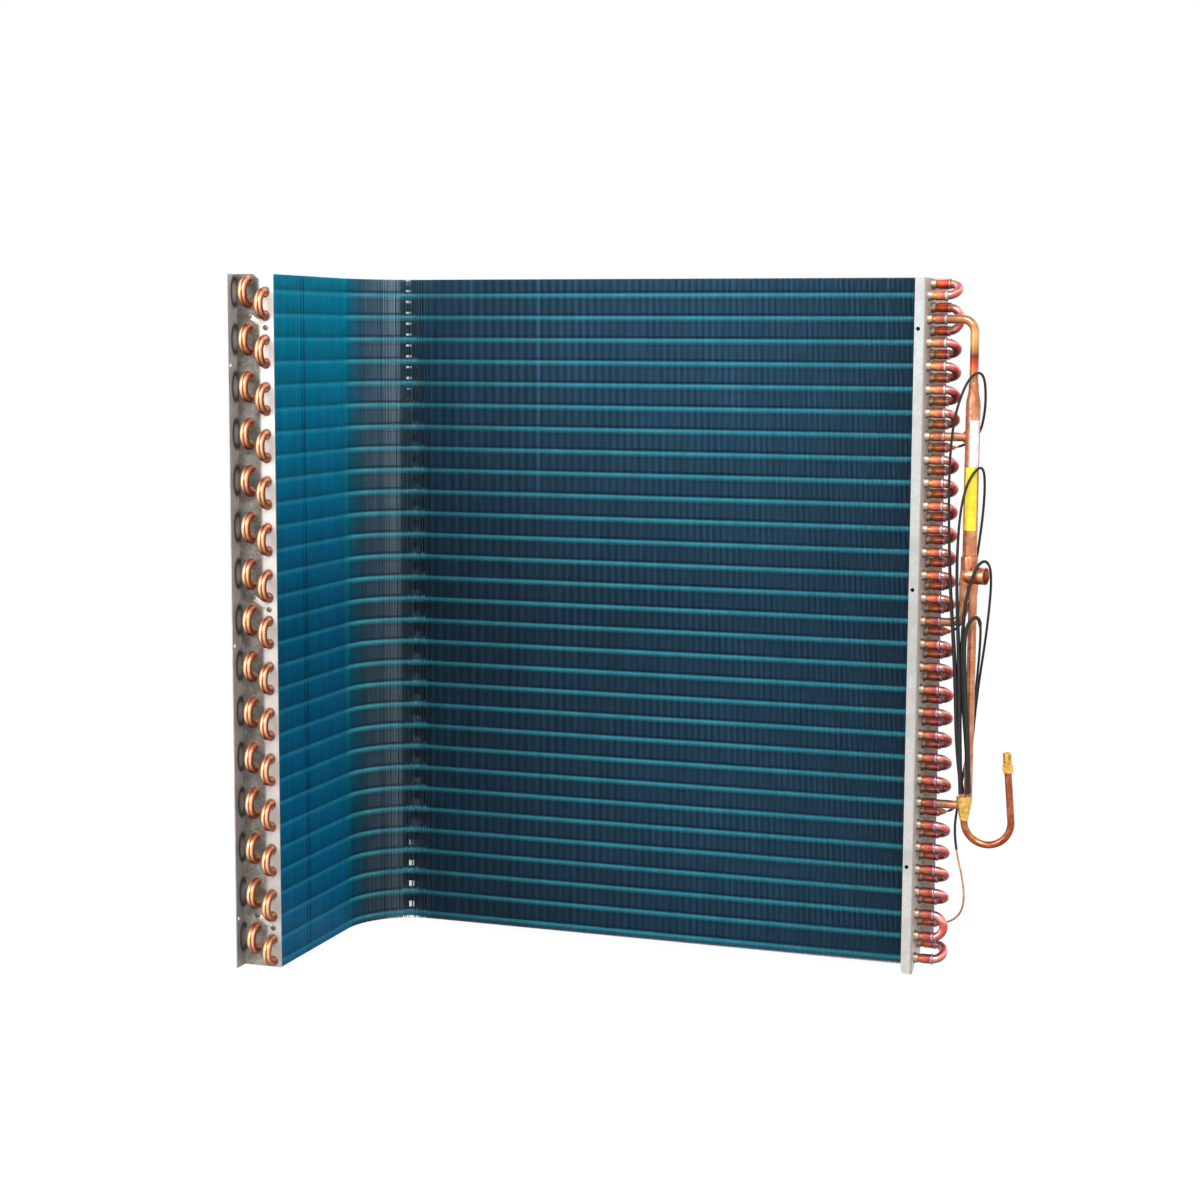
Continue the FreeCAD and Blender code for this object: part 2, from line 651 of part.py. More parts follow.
def gasTee():
    """Tee under the header: a collar, a taper to the third circuit's pipe and the outlet
    stub, whose underside holds the bell of the fourth circuit's pipe."""
    up = Vector(0, 0, 1)
    collarFoot = Vector(size("headerX"), nearRow, headerFoot() - size("teeCollar"))
    taperFoot = Vector(size("branchX"), nearRow, collarFoot.z - size("teeTaper"))
    body = closedSolid([ringAround(taperFoot, up, size("socketRadius"), PIPE_SIDES),
                        ringAround(collarFoot, up, size("teeRadius"), PIPE_SIDES),
                        ringAround(collarFoot + up * size("teeCollar"), up, size("teeRadius"), PIPE_SIDES)])
    turn = math.radians(size("outletTurn"))
    out = Vector(math.cos(turn), -math.sin(turn), 0)
    centre = Vector(size("headerX"), nearRow, outletHeight())
    end = centre + out * size("outletReach")
    stub = flatTube([centre, end], size("outletRadius"), HEADER_SIDES)
    bellMiddle = Vector(size("farPipeX"), nearRow, bellFoot())
    bellTop = bellMiddle + up * (outletHeight() - bellFoot())
    bell = flatTube([bellMiddle, bellTop], size("socketRadius"), PIPE_SIDES)
    bore = Part.makeCylinder(size("outletRadius") - size("outletWall"), size("outletDepth"),
                             end - out * size("outletDepth"), out)
    group("gas_tee", [body.fuse([stub, bell]).cut(bore).removeSplitter()])


# Liquid side

LIQUID_CHORDS = 12


def distributor():
    """Brass distributor: nose, cone and head with a ring of capillary holes."""
    up = Vector(0, 0, 1)
    foot = distributorNose()
    cone = size("noseRise") + size("coneRise")
    body = flatTurned(foot, up, [
        (size("distributorNose"), 0), (size("distributorNose"), size("noseRise")),
        (size("distributorHead"), cone), (size("distributorHead"), cone + size("headRise"))], PIPE_SIDES)
    holes = []
    for circuit in CAPILLARY_ENDS:
        mouth = capillaryMouth(circuit)
        bore = size("capillaryRadius") + size("capillaryRoom")
        holes.append(flatTube([mouth - up * size("capillarySeat"), mouth], bore, CAPILLARY_SIDES))
    group("distributor", [body.cut(holes)])


def distributorAxis(height):
    return Vector(size("distributorX"), nearRow - size("distributorProud"), height)


def distributorNose():
    """Foot of the distributor's nose, where the liquid pipe enters."""
    drop = size("headRise") + size("coneRise") + size("noseRise")
    return distributorAxis(size("distributorTop") - drop)


def capillaryMouth(circuit):
    """Centre of a circuit's hole in the top of the distributor."""
    turn = math.radians(HOLE_TURNS[circuit])
    out = Vector(math.cos(turn), math.sin(turn), 0)
    return distributorAxis(size("distributorTop")) + out * size("capillaryCircle")


def liquidLine():
    """J-shaped pipe out of the distributor's nose, and the brass fitting on its free end."""
    foot = distributorNose()
    lean = math.radians(size("liquidLean"))
    out = Vector(math.cos(lean), 0, math.sin(lean))
    upward = Vector(-out.z, 0, out.x)
    centre = foot + Vector(size("liquidBend"), 0, 0)
    turns = [math.pi + (math.pi + lean) * chord / LIQUID_CHORDS for chord in range(LIQUID_CHORDS + 1)]
    path = [centre + Vector(math.cos(turn), 0, math.sin(turn)) * size("liquidBend") for turn in turns]
    end = path[-1] + upward * size("liquidRise")
    down = Vector(0, 0, -1)
    group("liquid_pipe", [flatTube(path + [end], size("liquidRadius"), PIPE_SIDES, first=down)])
    hexagon = flatTurned(end, upward, [(size("hexRadius"), 0), (size("hexRadius"), size("hexRise"))], 6)
    top = end + upward * size("hexRise")
    thread = Part.makeCylinder(size("threadRadius"), size("threadRise"), top, upward)
    bore = flatTube([top, top + upward * size("threadRise")], size("fittingBore"), 6)
    group("liquid_fitting", [hexagon.fuse(thread).cut(bore).removeSplitter()])


# Capillaries: points that the tube's line swings past, from the distributor to the adaptor.
# Across and outwards they are measured from the header's axis, and upwards from the fins' foot.

CAPILLARY_SWINGS = {
    1: [(-6.3, -15, 245), (-9.3, -16, 330), (-20, -14, 450), (-23.3, -13, 590), (-7.3, -12, 652),
        (12.2, -8, 665), (12.9, 9, 622), (2.7, 18.5, 584)],
    2: [(-2.8, -19, 245), (-4.8, -17, 330), (-12.5, -14.5, 450), (-7.3, -15, 535), (14, -8, 567),
        (14.5, 7, 525), (4.7, 16.5, 450), (-6.3, 19, 380)],
    3: [(5.2, -15, 245), (-2.3, -15.5, 320), (-3.3, -16.5, 400), (7.7, -16, 448), (18.5, -7, 460),
        (24, 9, 443), (19.5, 11, 380), (9, 16, 305), (3.7, 17.5, 230), (-6.3, 19, 176)],
    4: [(7.7, -20.5, 245), (0.7, -21, 330), (-0.3, -21, 388), (16.7, -16, 401), (13.2, 4, 352),
        (3.7, 15, 262), (-7.3, 11, 190), (-12.8, 11, 145), (3.7, 12, 80), (-6.3, 19, 48)],
}
CAPILLARY_ENDS = {1: 8, 2: 16, 3: 24, 4: 29}
HOLE_TURNS = {1: 135, 2: 225, 3: 45, 4: 315}
BARE_CORNERS = {1: 0, 2: 0, 3: 0, 4: 4}


def cutCorners(points):
    """Path with each corner cut at a quarter of its two runs."""
    path = [points[0]]
    for before, corner, after in zip(points, points[1:], points[2:]):
        path.append(corner + (before - corner) / 4)
        path.append(corner + (after - corner) / 4)
    return path + [points[-1]]


SLEEVE_SIDES = 6
CAPILLARY_SIDES = 4


def capillary(circuit):
    """Capillary from its hole in the distributor to its adaptor, and the sleeve over it."""
    up = Vector(0, 0, 1)
    mouth = capillaryMouth(circuit)
    stem = mouth + up * size("capillaryStem")
    entry = farEnd(CAPILLARY_ENDS[circuit]) + Vector(size("adaptorRun"), 0, 0)
    axis = Vector(size("headerX"), nearRow, 0)
    swings = [axis + Vector(*point) for point in CAPILLARY_SWINGS[circuit]]
    path = cutCorners([stem] + swings + [entry])
    foot = mouth - up * size("capillarySeat")
    tube = flatTube([foot] + path, size("capillaryRadius"), CAPILLARY_SIDES, last=Vector(1, 0, 0))
    group(f"capillary_{circuit}", [tube])
    cover = path[:len(path) - BARE_CORNERS[circuit]]
    cover[-1] = cover[-1] + (cover[-2] - cover[-1]).normalize() * size("sleeveStart")
    cover = [mouth + up * size("sleeveStart")] + cover
    bore = size("capillaryRadius") + size("capillaryRoom")
    sleeve = flatTube(cover, bore + size("sleeveWall"), SLEEVE_SIDES)
    group(f"capillary_sleeve_{circuit}", [sleeve.cut(flatTube(cover, bore, CAPILLARY_SIDES))])


def capillaryAdaptors():
    """Tapered copper adaptors between the far tube ends and the capillaries."""
    taper = [(size("tubeRadius"), 0), (size("adaptorNose"), size("adaptorRun"))]
    group("capillary_adaptors", [flatTurned(farEnd(tube), Vector(1, 0, 0), taper, TUBE_SIDES)
                                 for tube in CAPILLARY_ENDS.values()])


# Labels: two bare strips wrapped round the header

LABEL_FLATS = 5


def label(colour, rise):
    """Strip of flats that stand off the header's corners, rise above the header's foot."""
    axis = Vector(size("headerX"), nearRow, headerFoot() + rise)
    wrap = math.radians(size(f"{colour}Wrap"))
    middle = math.radians(size(f"{colour}Turn"))
    stand = (size("headerRadius") + size("labelGap")) / math.cos(wrap / LABEL_FLATS / 2)
    turns = [middle + wrap * (flat / LABEL_FLATS - 0.5) for flat in range(LABEL_FLATS + 1)]
    inner = [axis + Vector(math.cos(turn), math.sin(turn), 0) * stand for turn in turns]
    face = stand + size("labelWall")
    outer = [axis + Vector(math.cos(turn), math.sin(turn), 0) * face for turn in turns[::-1]]
    strip = Part.Face(Part.makePolygon(inner + outer + inner[:1]))
    group(f"{colour}_label", [strip.extrude(Vector(0, 0, size(f"{colour}Height")))])


finsLongLeg()
finsCorner()
finsShortLeg()
rightSheet()
leftSheet()
hairpins()
tubeEnds()
returnBends()
tieStraps()
gasPipes()
gasHeader()
gasTee()
distributor()
liquidLine()
for circuit in CAPILLARY_ENDS:
    capillary(circuit)
capillaryAdaptors()
label("white", size("labelRise") + size("yellowHeight"))
label("yellow", size("labelRise"))

doc.recompute()

# Check every object, then write one file for each piece

for item in doc.Objects:
    if "Invalid" in item.State or "Error" in item.State:
        raise RuntimeError(f"{item.Name} failed: {item.State}")
for piece in pieces:
    if piece.Shape.isNull() or not piece.Shape.isValid():
        raise RuntimeError(f"{piece.Label} has no valid shape")
os.makedirs("parts", exist_ok=True)
for piece in pieces:
    piece.Shape.exportStep(f"parts/{piece.Label}.step")
    print(piece.Label, len(piece.Shape.Solids), round(piece.Shape.Volume))
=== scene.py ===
# Condenser coil: thin fins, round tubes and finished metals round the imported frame.
# Metres, in the frame's own axes: X along the long leg, +Y to the convex side, +Z up.

import bpy
import math
import numpy as np
from mathutils import Matrix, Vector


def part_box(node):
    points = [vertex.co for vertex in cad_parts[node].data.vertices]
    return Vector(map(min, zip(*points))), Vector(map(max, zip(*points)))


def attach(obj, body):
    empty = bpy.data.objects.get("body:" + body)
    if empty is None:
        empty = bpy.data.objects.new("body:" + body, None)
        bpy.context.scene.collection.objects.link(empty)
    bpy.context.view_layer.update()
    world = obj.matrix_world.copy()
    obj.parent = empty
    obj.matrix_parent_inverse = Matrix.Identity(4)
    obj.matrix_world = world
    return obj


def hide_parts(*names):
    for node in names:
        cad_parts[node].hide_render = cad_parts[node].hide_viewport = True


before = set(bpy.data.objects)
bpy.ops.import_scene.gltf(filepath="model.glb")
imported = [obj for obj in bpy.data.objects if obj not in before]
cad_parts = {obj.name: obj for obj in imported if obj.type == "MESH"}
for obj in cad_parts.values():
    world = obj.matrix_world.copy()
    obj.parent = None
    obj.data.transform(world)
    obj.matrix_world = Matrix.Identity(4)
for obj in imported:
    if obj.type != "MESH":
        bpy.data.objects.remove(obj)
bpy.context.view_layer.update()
print("frame loaded")

# Places that the frame gives

longLow, longHigh = (np.array(corner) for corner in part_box("fins_long_leg"))
shortLow, shortHigh = (np.array(corner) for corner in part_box("fins_short_leg"))
home = np.array([longHigh[0], longLow[1], longLow[2]])  # inner corner of the right sheet, at the fins' foot
elbowMiddle = np.array([longLow[0], shortHigh[1]])  # middle of the corner's circles, in plan

coil = {
    "tubes": 30,
    "tubeStep": (longHigh[2] - longLow[2]) / 30,
    "finDepth": longHigh[1] - longLow[1],
    "finHeight": longHigh[2] - longLow[2],
    "rowStep": 0.01905,
    "cornerRadius": longLow[1] - shortHigh[1],
    "tubeRadius": 0.00476,
    "tubeEnd": 0.0206,  # ends of the belled tubes, from the fins' face
    "sheetWall": 0.0012,
}
rowDepths = {"near": (coil["finDepth"] - coil["rowStep"]) / 2, "far": (coil["finDepth"] + coil["rowStep"]) / 2}
rowRises = {"near": 0.25, "far": 0.75}
rowNames = {"near": "inner_row", "far": "outer_row"}
everyTube = range(1, coil["tubes"] + 1)
outRight, outFront, outUp = np.array([[1.0, 0, 0], [0, -1.0, 0], [0, 0, 1.0]])


def tubeHeight(row, number):
    return coil["finHeight"] - (number - rowRises[row]) * coil["tubeStep"]


def at(x, y, z):
    # point measured from the inner corner of the right sheet
    return home + np.array([x, y, z])


def inRow(x, z):
    # point in the plane of the near row, where the gas side lies
    return at(x, rowDepths["near"], z)


def rightEnd(row, number, out=coil["tubeEnd"]):
    # point on a tube's axis, so far out of the long leg's first fin
    return at(out, rowDepths[row], tubeHeight(row, number))


def leftEnd(row, number, out=coil["sheetWall"]):
    # point on a tube's axis, so far out of the short leg's last fin
    return np.array([shortHigh[0] - rowDepths[row], shortLow[1] - out, home[2] + tubeHeight(row, number)])


def roundCorner(radius, turn):
    # in plan: middle + radius * (-sine, cosine)
    return elbowMiddle + radius * np.stack([-np.sin(turn), np.cos(turn)], -1)


# Surfaces: grids of points, one row for each ring

def unit(vectors):
    return vectors / np.linalg.norm(vectors, axis=-1, keepdims=True)


def eased(share):
    return share * share * (3 - 2 * share)


def circleOf(side, up, sides):
    # cos of the turn * side + sin of the turn * up
    turn = 2 * np.pi * np.arange(sides) / sides
    return np.cos(turn)[:, None] * side + np.sin(turn)[:, None] * up


def carried(path, radius, sides):
    # a circle carried along the path: path + radius * circle
    path = np.asarray(path, float)
    run = unit(np.gradient(path, axis=0))
    flat = np.linalg.svd(run)[2][-1]  # the direction that the runs lean on least
    side = unit(np.cross(flat, run))
    radius = np.broadcast_to(radius, len(path))[:, None, None]
    return path[:, None] + radius * circleOf(side[:, None], np.cross(run, side)[:, None], sides)


def turned(profile, foot, axis, sides):
    # a profile of (radius, distance) pairs turned about the axis
    profile = np.asarray(profile, float)
    axis = unit(np.asarray(axis, float))
    side = unit(np.cross(axis, [0.3, 0.9, 0.1]))
    circle = circleOf(side, np.cross(axis, side), sides)
    return foot + profile[:, 1, None, None] * axis + profile[:, 0, None, None] * circle


def ringFaces(rows, ring, start):
    # quads from each ring to the next, and one face at either end
    row, corner = np.meshgrid(np.arange(rows - 1), np.arange(ring), indexing="ij")
    here = start + row * ring + corner
    beside = start + row * ring + (corner + 1) % ring
    quads = np.stack([here, beside, beside + ring, here + ring], -1).reshape(-1, 4).tolist()
    last = start + (rows - 1) * ring
    return quads + [list(range(start + ring - 1, start - 1, -1)), list(range(last, last + ring))]


sidesOf = {"crown": 2, "flank": 0}  # attribute and the axis that it follows


def sideOf(grid, axis):
    # how far each point lies to one side of its ring: 0 to 1 along the axis, 0.5 in the middle
    arm = grid - grid.mean(1, keepdims=True)
    return (0.5 + 0.5 * arm[..., axis] / (np.linalg.norm(arm, axis=-1) + 1e-6)).ravel()


def liftOf(grid):
    # how high each point lies on its own tube: 0 at the lowest point, 1 at the highest
    height = grid[..., 2].ravel()
    return (height - height.min()) / (np.ptp(height) + 1e-6)


def addObject(name, data):
    made = bpy.data.objects.new(name, data)
    bpy.context.scene.collection.objects.link(made)
    return made


def makePiece(name, grids, finish, node=None, crease=35):
    points, faces, start = [], [], 0
    for grid in grids:
        rows, ring = grid.shape[:2]
        points.append(grid.reshape(-1, 3))
        faces += ringFaces(rows, ring, start)
        start += rows * ring
    mesh = bpy.data.meshes.new(name)
    mesh.from_pydata(np.concatenate(points), [], faces)
    sides = {side: [sideOf(grid, axis) for grid in grids] for side, axis in sidesOf.items()}
    sides["lift"] = [liftOf(grid) for grid in grids]
    for side, values in sides.items():
        layer = mesh.attributes.new(side, "FLOAT", "POINT")
        layer.data.foreach_set("value", np.concatenate(values).astype(np.float32))
    mesh.shade_smooth()
    mesh.set_sharp_from_angle(angle=math.radians(crease))
    mesh.materials.append(finish)
    piece = addObject(name, mesh)
    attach(piece, "root")
    if node:
        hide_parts(node)
    return piece


def dress(look, node, grids, finish, crease=35):
    # a piece in the place of one node of the frame
    return makePiece(f"{look}_{node}", grids, finish, node, crease)


# Materials. A colour is three numbers as a screen shows them, or four of linear light.

def rgb(red, green, blue):
    # colour as a screen shows it, 0 to 255, turned into linear light
    part = np.array([red, green, blue]) / 255
    linear = np.where(part <= 0.04045, part / 12.92, ((part + 0.055) / 1.055) ** 2.4)
    return (*linear.tolist(), 1.0)


def colourOf(value):
    if not isinstance(value, tuple):
        return value, value, value, 1.0
    return rgb(*value) if len(value) == 3 else value


def shaderOf(finish):
    return finish.node_tree.nodes["Principled BSDF"]


def newFinish(name, **sockets):
    finish = bpy.data.materials.new(name)
    finish.use_nodes = True
    for socket, value in sockets.items():
        shaderOf(finish).inputs[socket].default_value = value
    return finish


def fill(finish, socket, value):
    # links the output of another node, or sets the socket's own value
    if isinstance(value, bpy.types.NodeSocket):
        finish.node_tree.links.new(value, socket)
    else:
        socket.default_value = value


def addNode(finish, kind, inputs=None, **settings):
    made = finish.node_tree.nodes.new(kind)
    for name, value in settings.items():
        setattr(made, name, value)
    for name, value in (inputs or {}).items():
        fill(finish, made.inputs[name], value)
    return made


def skinOf(finish):
    # what paints the finish so far
    return shaderOf(finish).inputs["Base Color"].links[0].from_socket


def paint(finish, colour):
    fill(finish, shaderOf(finish).inputs["Base Color"], colour)
    return finish


def attribute(finish, name, output="Fac"):
    return addNode(finish, "ShaderNodeAttribute", attribute_name=name).outputs[output]


def places(finish, stretch=(1, 1, 1)):
    # object coordinates, stretched so that a pattern can run along a piece
    coordinates = addNode(finish, "ShaderNodeTexCoord")
    return addNode(finish, "ShaderNodeMapping", {"Vector": coordinates.outputs["Object"], "Scale": stretch}).outputs[0]


def axisPlace(finish, axis):
    coordinates = addNode(finish, "ShaderNodeTexCoord")
    return addNode(finish, "ShaderNodeSeparateXYZ", {"Vector": coordinates.outputs["Object"]}).outputs[axis]


def cloud(finish, scale, detail=3, stretch=(1, 1, 1)):
    inputs = {"Vector": places(finish, stretch), "Scale": scale, "Detail": detail, "Roughness": 0.55}
    return addNode(finish, "ShaderNodeTexNoise", inputs).outputs["Fac"]


def ramp(finish, source, stops):
    made = addNode(finish, "ShaderNodeValToRGB", {"Fac": source})
    while len(made.color_ramp.elements) < len(stops):
        made.color_ramp.elements.new(0.5)
    for element, (place, colour) in zip(made.color_ramp.elements, stops):
        element.position = place
        element.color = colourOf(colour)
    return made.outputs["Color"]


def spread(finish, value, low, high, first=0.0, last=1.0):
    # what runs from low to high comes to run from first to last
    ends = {"Value": value, "From Min": low, "From Max": high, "To Min": first, "To Max": last}
    return addNode(finish, "ShaderNodeMapRange", ends).outputs["Result"]


def blended(finish, share, first, second, mode="MIX"):
    made = addNode(finish, "ShaderNodeMix", data_type="RGBA", blend_type=mode)
    for socket, value in ((0, share), (6, first), (7, second)):
        fill(finish, made.inputs[socket], colourOf(value) if isinstance(value, tuple) else value)
    return made.outputs[2]


def reckon(finish, operation, first, second=0.0, third=0.0):
    made = addNode(finish, "ShaderNodeMath", operation=operation)
    for socket, value in enumerate((first, second, third)):
        fill(finish, made.inputs[socket], value)
    return made.outputs[0]


def roughen(finish, scale, low, high, detail=3, stretch=(1, 1, 1)):
    patches = cloud(finish, scale, detail, stretch)
    fill(finish, shaderOf(finish).inputs["Roughness"], spread(finish, patches, 0.0, 1.0, low, high))


def bumped(finish, scale, strength, distance, detail=3):
    inputs = {"Height": cloud(finish, scale, detail), "Strength": strength, "Distance": distance}
    fill(finish, shaderOf(finish).inputs["Normal"], addNode(finish, "ShaderNodeBump", inputs).outputs["Normal"])


# painted highlights of the tubes' collars seen between the fins, with a seam of painted shade above each and bands of
# painted shade below
collarHighlights = {
    "lift": 0.0011,  # the painted highlights stand this far above the tubes' axes, where the collars' tops catch the light
    "shadeSeam": [(0.20, 0.0), (0.25, 0.55), (0.30, 0.0), (0.575, 0.0), (0.62, 1.0), (0.67, 1.0), (0.73, 0.0)],
    "collarHighlight": [(0.30, 0.0), (0.38, 0.20), (0.43, 0.55), (0.48, 0.85), (0.54, 0.85), (0.585, 0.0)],
    "band": [(0.0, 0.5), (0.485, 1.0), (0.52, 0.0), (1.0, 0.5)],
    "shadeSeamShare": 0.75,
    "shadeSeamColour": (6, 52, 78),
    "collarHighlightColour": (96, 234, 250),
}


def finCoating():
    # The colour comes with each fin. Its marks say how strong the painted tube highlights (red) and the
    # painted shade bands below them (green) are, and which row of tubes the fin's edge is near (blue).
    finish = newFinish("FinCoating", Metallic=0.25)
    mark = addNode(finish, "ShaderNodeSeparateColor", {"Color": attribute(finish, "marks", "Color")}).outputs
    foot = home[2] + tubeHeight("near", coil["tubes"]) + collarHighlights["lift"]
    steps = reckon(finish, "DIVIDE", reckon(finish, "SUBTRACT", axisPlace(finish, "Z"), foot), coil["tubeStep"])
    half = reckon(finish, "MULTIPLY_ADD", mark["Blue"], 0.5, 0.5)
    phase = reckon(finish, "FRACT", reckon(finish, "ADD", steps, half))
    # a painted highlight is sharp above, with a dark seam of painted shade over it, and fades out downwards
    shadeSeam, collarHighlight, band = (ramp(finish, phase, collarHighlights[part]) for part in ("shadeSeam", "collarHighlight", "band"))
    shade = reckon(finish, "MULTIPLY", mark["Green"], reckon(finish, "SUBTRACT", band, 0.5))
    tone = {"Color": attribute(finish, "tone", "Color"), "Value": reckon(finish, "ADD", shade, 1.0)}
    lit = addNode(finish, "ShaderNodeHueSaturation", tone).outputs["Color"]
    shadeSeamShare = reckon(finish, "MULTIPLY", shadeSeam, reckon(finish, "MULTIPLY", mark["Red"], collarHighlights["shadeSeamShare"]))
    highlighted = blended(finish, shadeSeamShare, lit, collarHighlights["shadeSeamColour"])
    highlighted = blended(finish, reckon(finish, "MULTIPLY", collarHighlight, mark["Red"]), highlighted, collarHighlights["collarHighlightColour"])
    speck = ramp(finish, cloud(finish, 60, 4, (1, 1, 0.35)), [(0.3, 0.82), (0.7, 1.0)])
    roughen(finish, 90, 0.3, 0.55, 3, (1, 1, 0.1))
    return paint(finish, blended(finish, 1.0, highlighted, speck, "MULTIPLY"))


# levels by height: share of the fins' height, and factors for red, green and blue; they paint light and shade by
# height, and the top far tube's redder colour
levels = {
    "TubeEndCopperNear": [(0.40, (0.60, 0.44, 0.60)), (0.62, (0.82, 0.68, 0.80)), (0.78, (1, 1, 1))],
    "TubeEndCopperFar": [(0.40, (0.74, 0.60, 0.85)), (0.62, (0.85, 0.75, 0.90)), (0.78, (1, 1, 1)),
                         (0.88, (1, 1, 1)), (0.94, (1.0, 0.50, 0.46))],
    "CollarHighlight": [(0.45, (0.72, 0.70, 0.70)), (0.70, (1, 1, 1))],
    "rightFlange": [(0.0, (1.14, 1.11, 1.06)), (0.3, (0.96, 0.96, 0.95)), (0.55, (0.88, 0.89, 0.88)),
                    (0.9, (1.0, 1.02, 1.05))],
    "leftPlateLighting": [(0.0, (1.8, 1.75, 1.7)), (0.10, (1.5, 1.5, 1.45)), (0.25, (1, 1, 1))],
    "leftWhiteLighting": [(0.0, (0.64, 0.63, 0.62)), (0.3, (0.70, 0.69, 0.68)), (0.75, (0.86, 0.85, 0.84)),
                 (0.9, (1, 1, 1))],
    "leftFlangeLighting": [(0.0, (0.56, 0.57, 0.58)), (0.35, (0.88, 0.88, 0.89)), (0.7, (1, 1, 1)),
                 (1.0, (1.14, 1.16, 1.18))],
}
# the near tubes that take the gas pipes turn mauve: the change starts at the edge and is
# whole at the core, as shares of the height either side of the tube
mauve = {"finish": "TubeEndCopperNear", "edge": 0.018, "core": 0.009, "factors": (0.66, 0.64, 0.68)}


def byHeight(finish, source, name):
    # source * level, where the level follows the height: painted light and shade, and the mauve of the gas pipes' tubes
    shares = [share for share, level in levels[name]]
    factors = np.array([level for share, level in levels[name]])
    edge, core = mauve["edge"], mauve["core"]
    rows = gas["tubes"].values() if name == mauve["finish"] else ()
    bands = [float(tubeHeight("near", number) / coil["finHeight"]) for number in rows]
    steps = [band + step for band in bands for step in (-edge, -core, core, edge)]
    stops = []
    for place in sorted(set(shares + steps)):
        inside = any(abs(place - band) < core * 1.5 for band in bands)
        change = mauve["factors"] if inside else (1, 1, 1)
        level = [float(np.interp(place, shares, factors[:, part])) * change[part] for part in range(3)]
        stops.append((place, (*level, 1.0)))
    height = spread(finish, axisPlace(finish, "Z"), home[2], longHigh[2])
    return blended(finish, 1.0, source, ramp(finish, height, stops), "MULTIPLY")


# heat tints: axis, then distance from the fins' face or foot, colour and share of the colour
heatTints = {
    "TubeEndCopperNear": [("X", [
        (0.0, (196, 170, 150), 0.8), (0.0045, (214, 176, 140), 0.8), (0.0075, (236, 178, 118), 0.8),
        (0.0095, (244, 150, 84), 0.9), (0.0135, (242, 142, 88), 0.85), (0.0160, (222, 112, 104), 0.85),
        (0.0190, (196, 92, 92), 0.85), (0.0201, (214, 176, 164), 1.0), (0.0214, (236, 216, 206), 1.0),
        (0.0229, (186, 158, 150), 1.0)])],
    "TubeEndCopperFar": [("X", [
        (0.0, (170, 140, 120), 0.7), (0.0055, (190, 130, 90), 0.8), (0.0080, (255, 166, 96), 0.9),
        (0.0135, (252, 156, 92), 0.9), (0.0160, (250, 128, 116), 0.9), (0.0190, (190, 84, 84), 0.85),
        (0.0201, (200, 160, 150), 0.9), (0.0214, (216, 200, 190), 0.9), (0.0229, (150, 124, 112), 0.9)])],
    "BrazedCopper": [("X", [
        (0.0215, (160, 138, 124), 0.8), (0.0245, (190, 150, 138), 0.5), (0.0275, (230, 170, 158), 0.15),
        (0.033, (214, 84, 74), 0.25), (0.042, (206, 58, 54), 0.6)])],
    "CollarHighlight": [("X", [
        (0.0010, (180, 160, 148), 1.0), (0.0032, (196, 176, 160), 0.9), (0.0046, (255, 236, 200), 0.1),
        (0.0060, (255, 236, 200), 0.1)])],
    "HeatedGasPipe": [
        ("Z", [
            (0.655, (206, 134, 97), 0.0), (0.662, (236, 140, 70), 0.6), (0.667, (214, 92, 42), 0.9),
            (0.6745, (176, 44, 30), 0.9), (0.678, (88, 32, 26), 0.9), (0.683, (166, 116, 66), 0.8),
            (0.689, (214, 160, 84), 0.85), (0.702, (236, 196, 126), 0.8), (0.714, (206, 130, 72), 0.6),
            (0.722, (156, 84, 58), 0.7)]),
        ("X", [(0.020, (150, 104, 92), 0.8), (0.032, (176, 110, 80), 0.6), (0.040, (196, 124, 80), 0.0)])],
    "DuskyGasPipe": [("X", [
        (0.020, (150, 104, 92), 0.8), (0.034, (150, 92, 74), 0.75), (0.042, (170, 96, 66), 0.3),
        (0.05, (206, 134, 97), 0.0)])],
}


def tinted(finish, axis, tints):
    start = home["XYZ".index(axis)]
    first, last = tints[0][0], tints[-1][0]
    wander = reckon(finish, "MULTIPLY_ADD", cloud(finish, 120, 2), 0.004, -0.002 - start)
    place = spread(finish, reckon(finish, "ADD", axisPlace(finish, axis), wander), first, last)
    colour, share = (ramp(finish, place, [((tint[0] - first) / (last - first), tint[part]) for tint in tints])
                     for part in (1, 2))
    shadow = ramp(finish, attribute(finish, "crown"), [(0.0, 0.12), (0.25, 0.55), (0.45, 1.0), (0.8, 1.0), (1.0, 0.35)])
    shaded = blended(finish, 1.0, colour, shadow, "MULTIPLY")
    return paint(finish, blended(finish, share, skinOf(finish), shaded))


# painted highlights along a tube: the side that their places are counted from, bright lines of painted highlight, dark
# seams of painted shade, how much of the lines shows from the tube's lowest to its highest point, and both colours
stripes = {
    "HairpinCopper": (
        "flank",
        [(0.10, 0.0), (0.26, 0.95), (0.46, 0.95), (0.56, 0.0), (0.70, 0.0), (0.77, 0.8), (0.88, 0.7), (0.94, 0.0)],
        [(0.06, 0.8), (0.14, 0.1), (0.54, 0.0), (0.60, 0.75), (0.66, 0.75), (0.72, 0.0), (0.93, 0.0), (1.0, 0.9)],
        [(0.12, 0.05), (0.32, 0.5), (0.42, 1.0), (0.76, 1.0), (0.88, 0.3), (1.0, 0.1)],
        (255, 222, 170), (118, 52, 24)),
    "BrazedCopper": (
        "crown",
        [(0.56, 0.0), (0.68, 0.6), (0.80, 0.7), (0.88, 0.0)],
        [(0.0, 0.85), (0.12, 0.4), (0.26, 0.0), (0.91, 0.0), (0.96, 0.75), (1.0, 0.9)],
        [(0.30, 0.0), (0.60, 0.8), (0.85, 1.0), (1.0, 0.7)],
        (246, 190, 178), (62, 12, 22)),
}


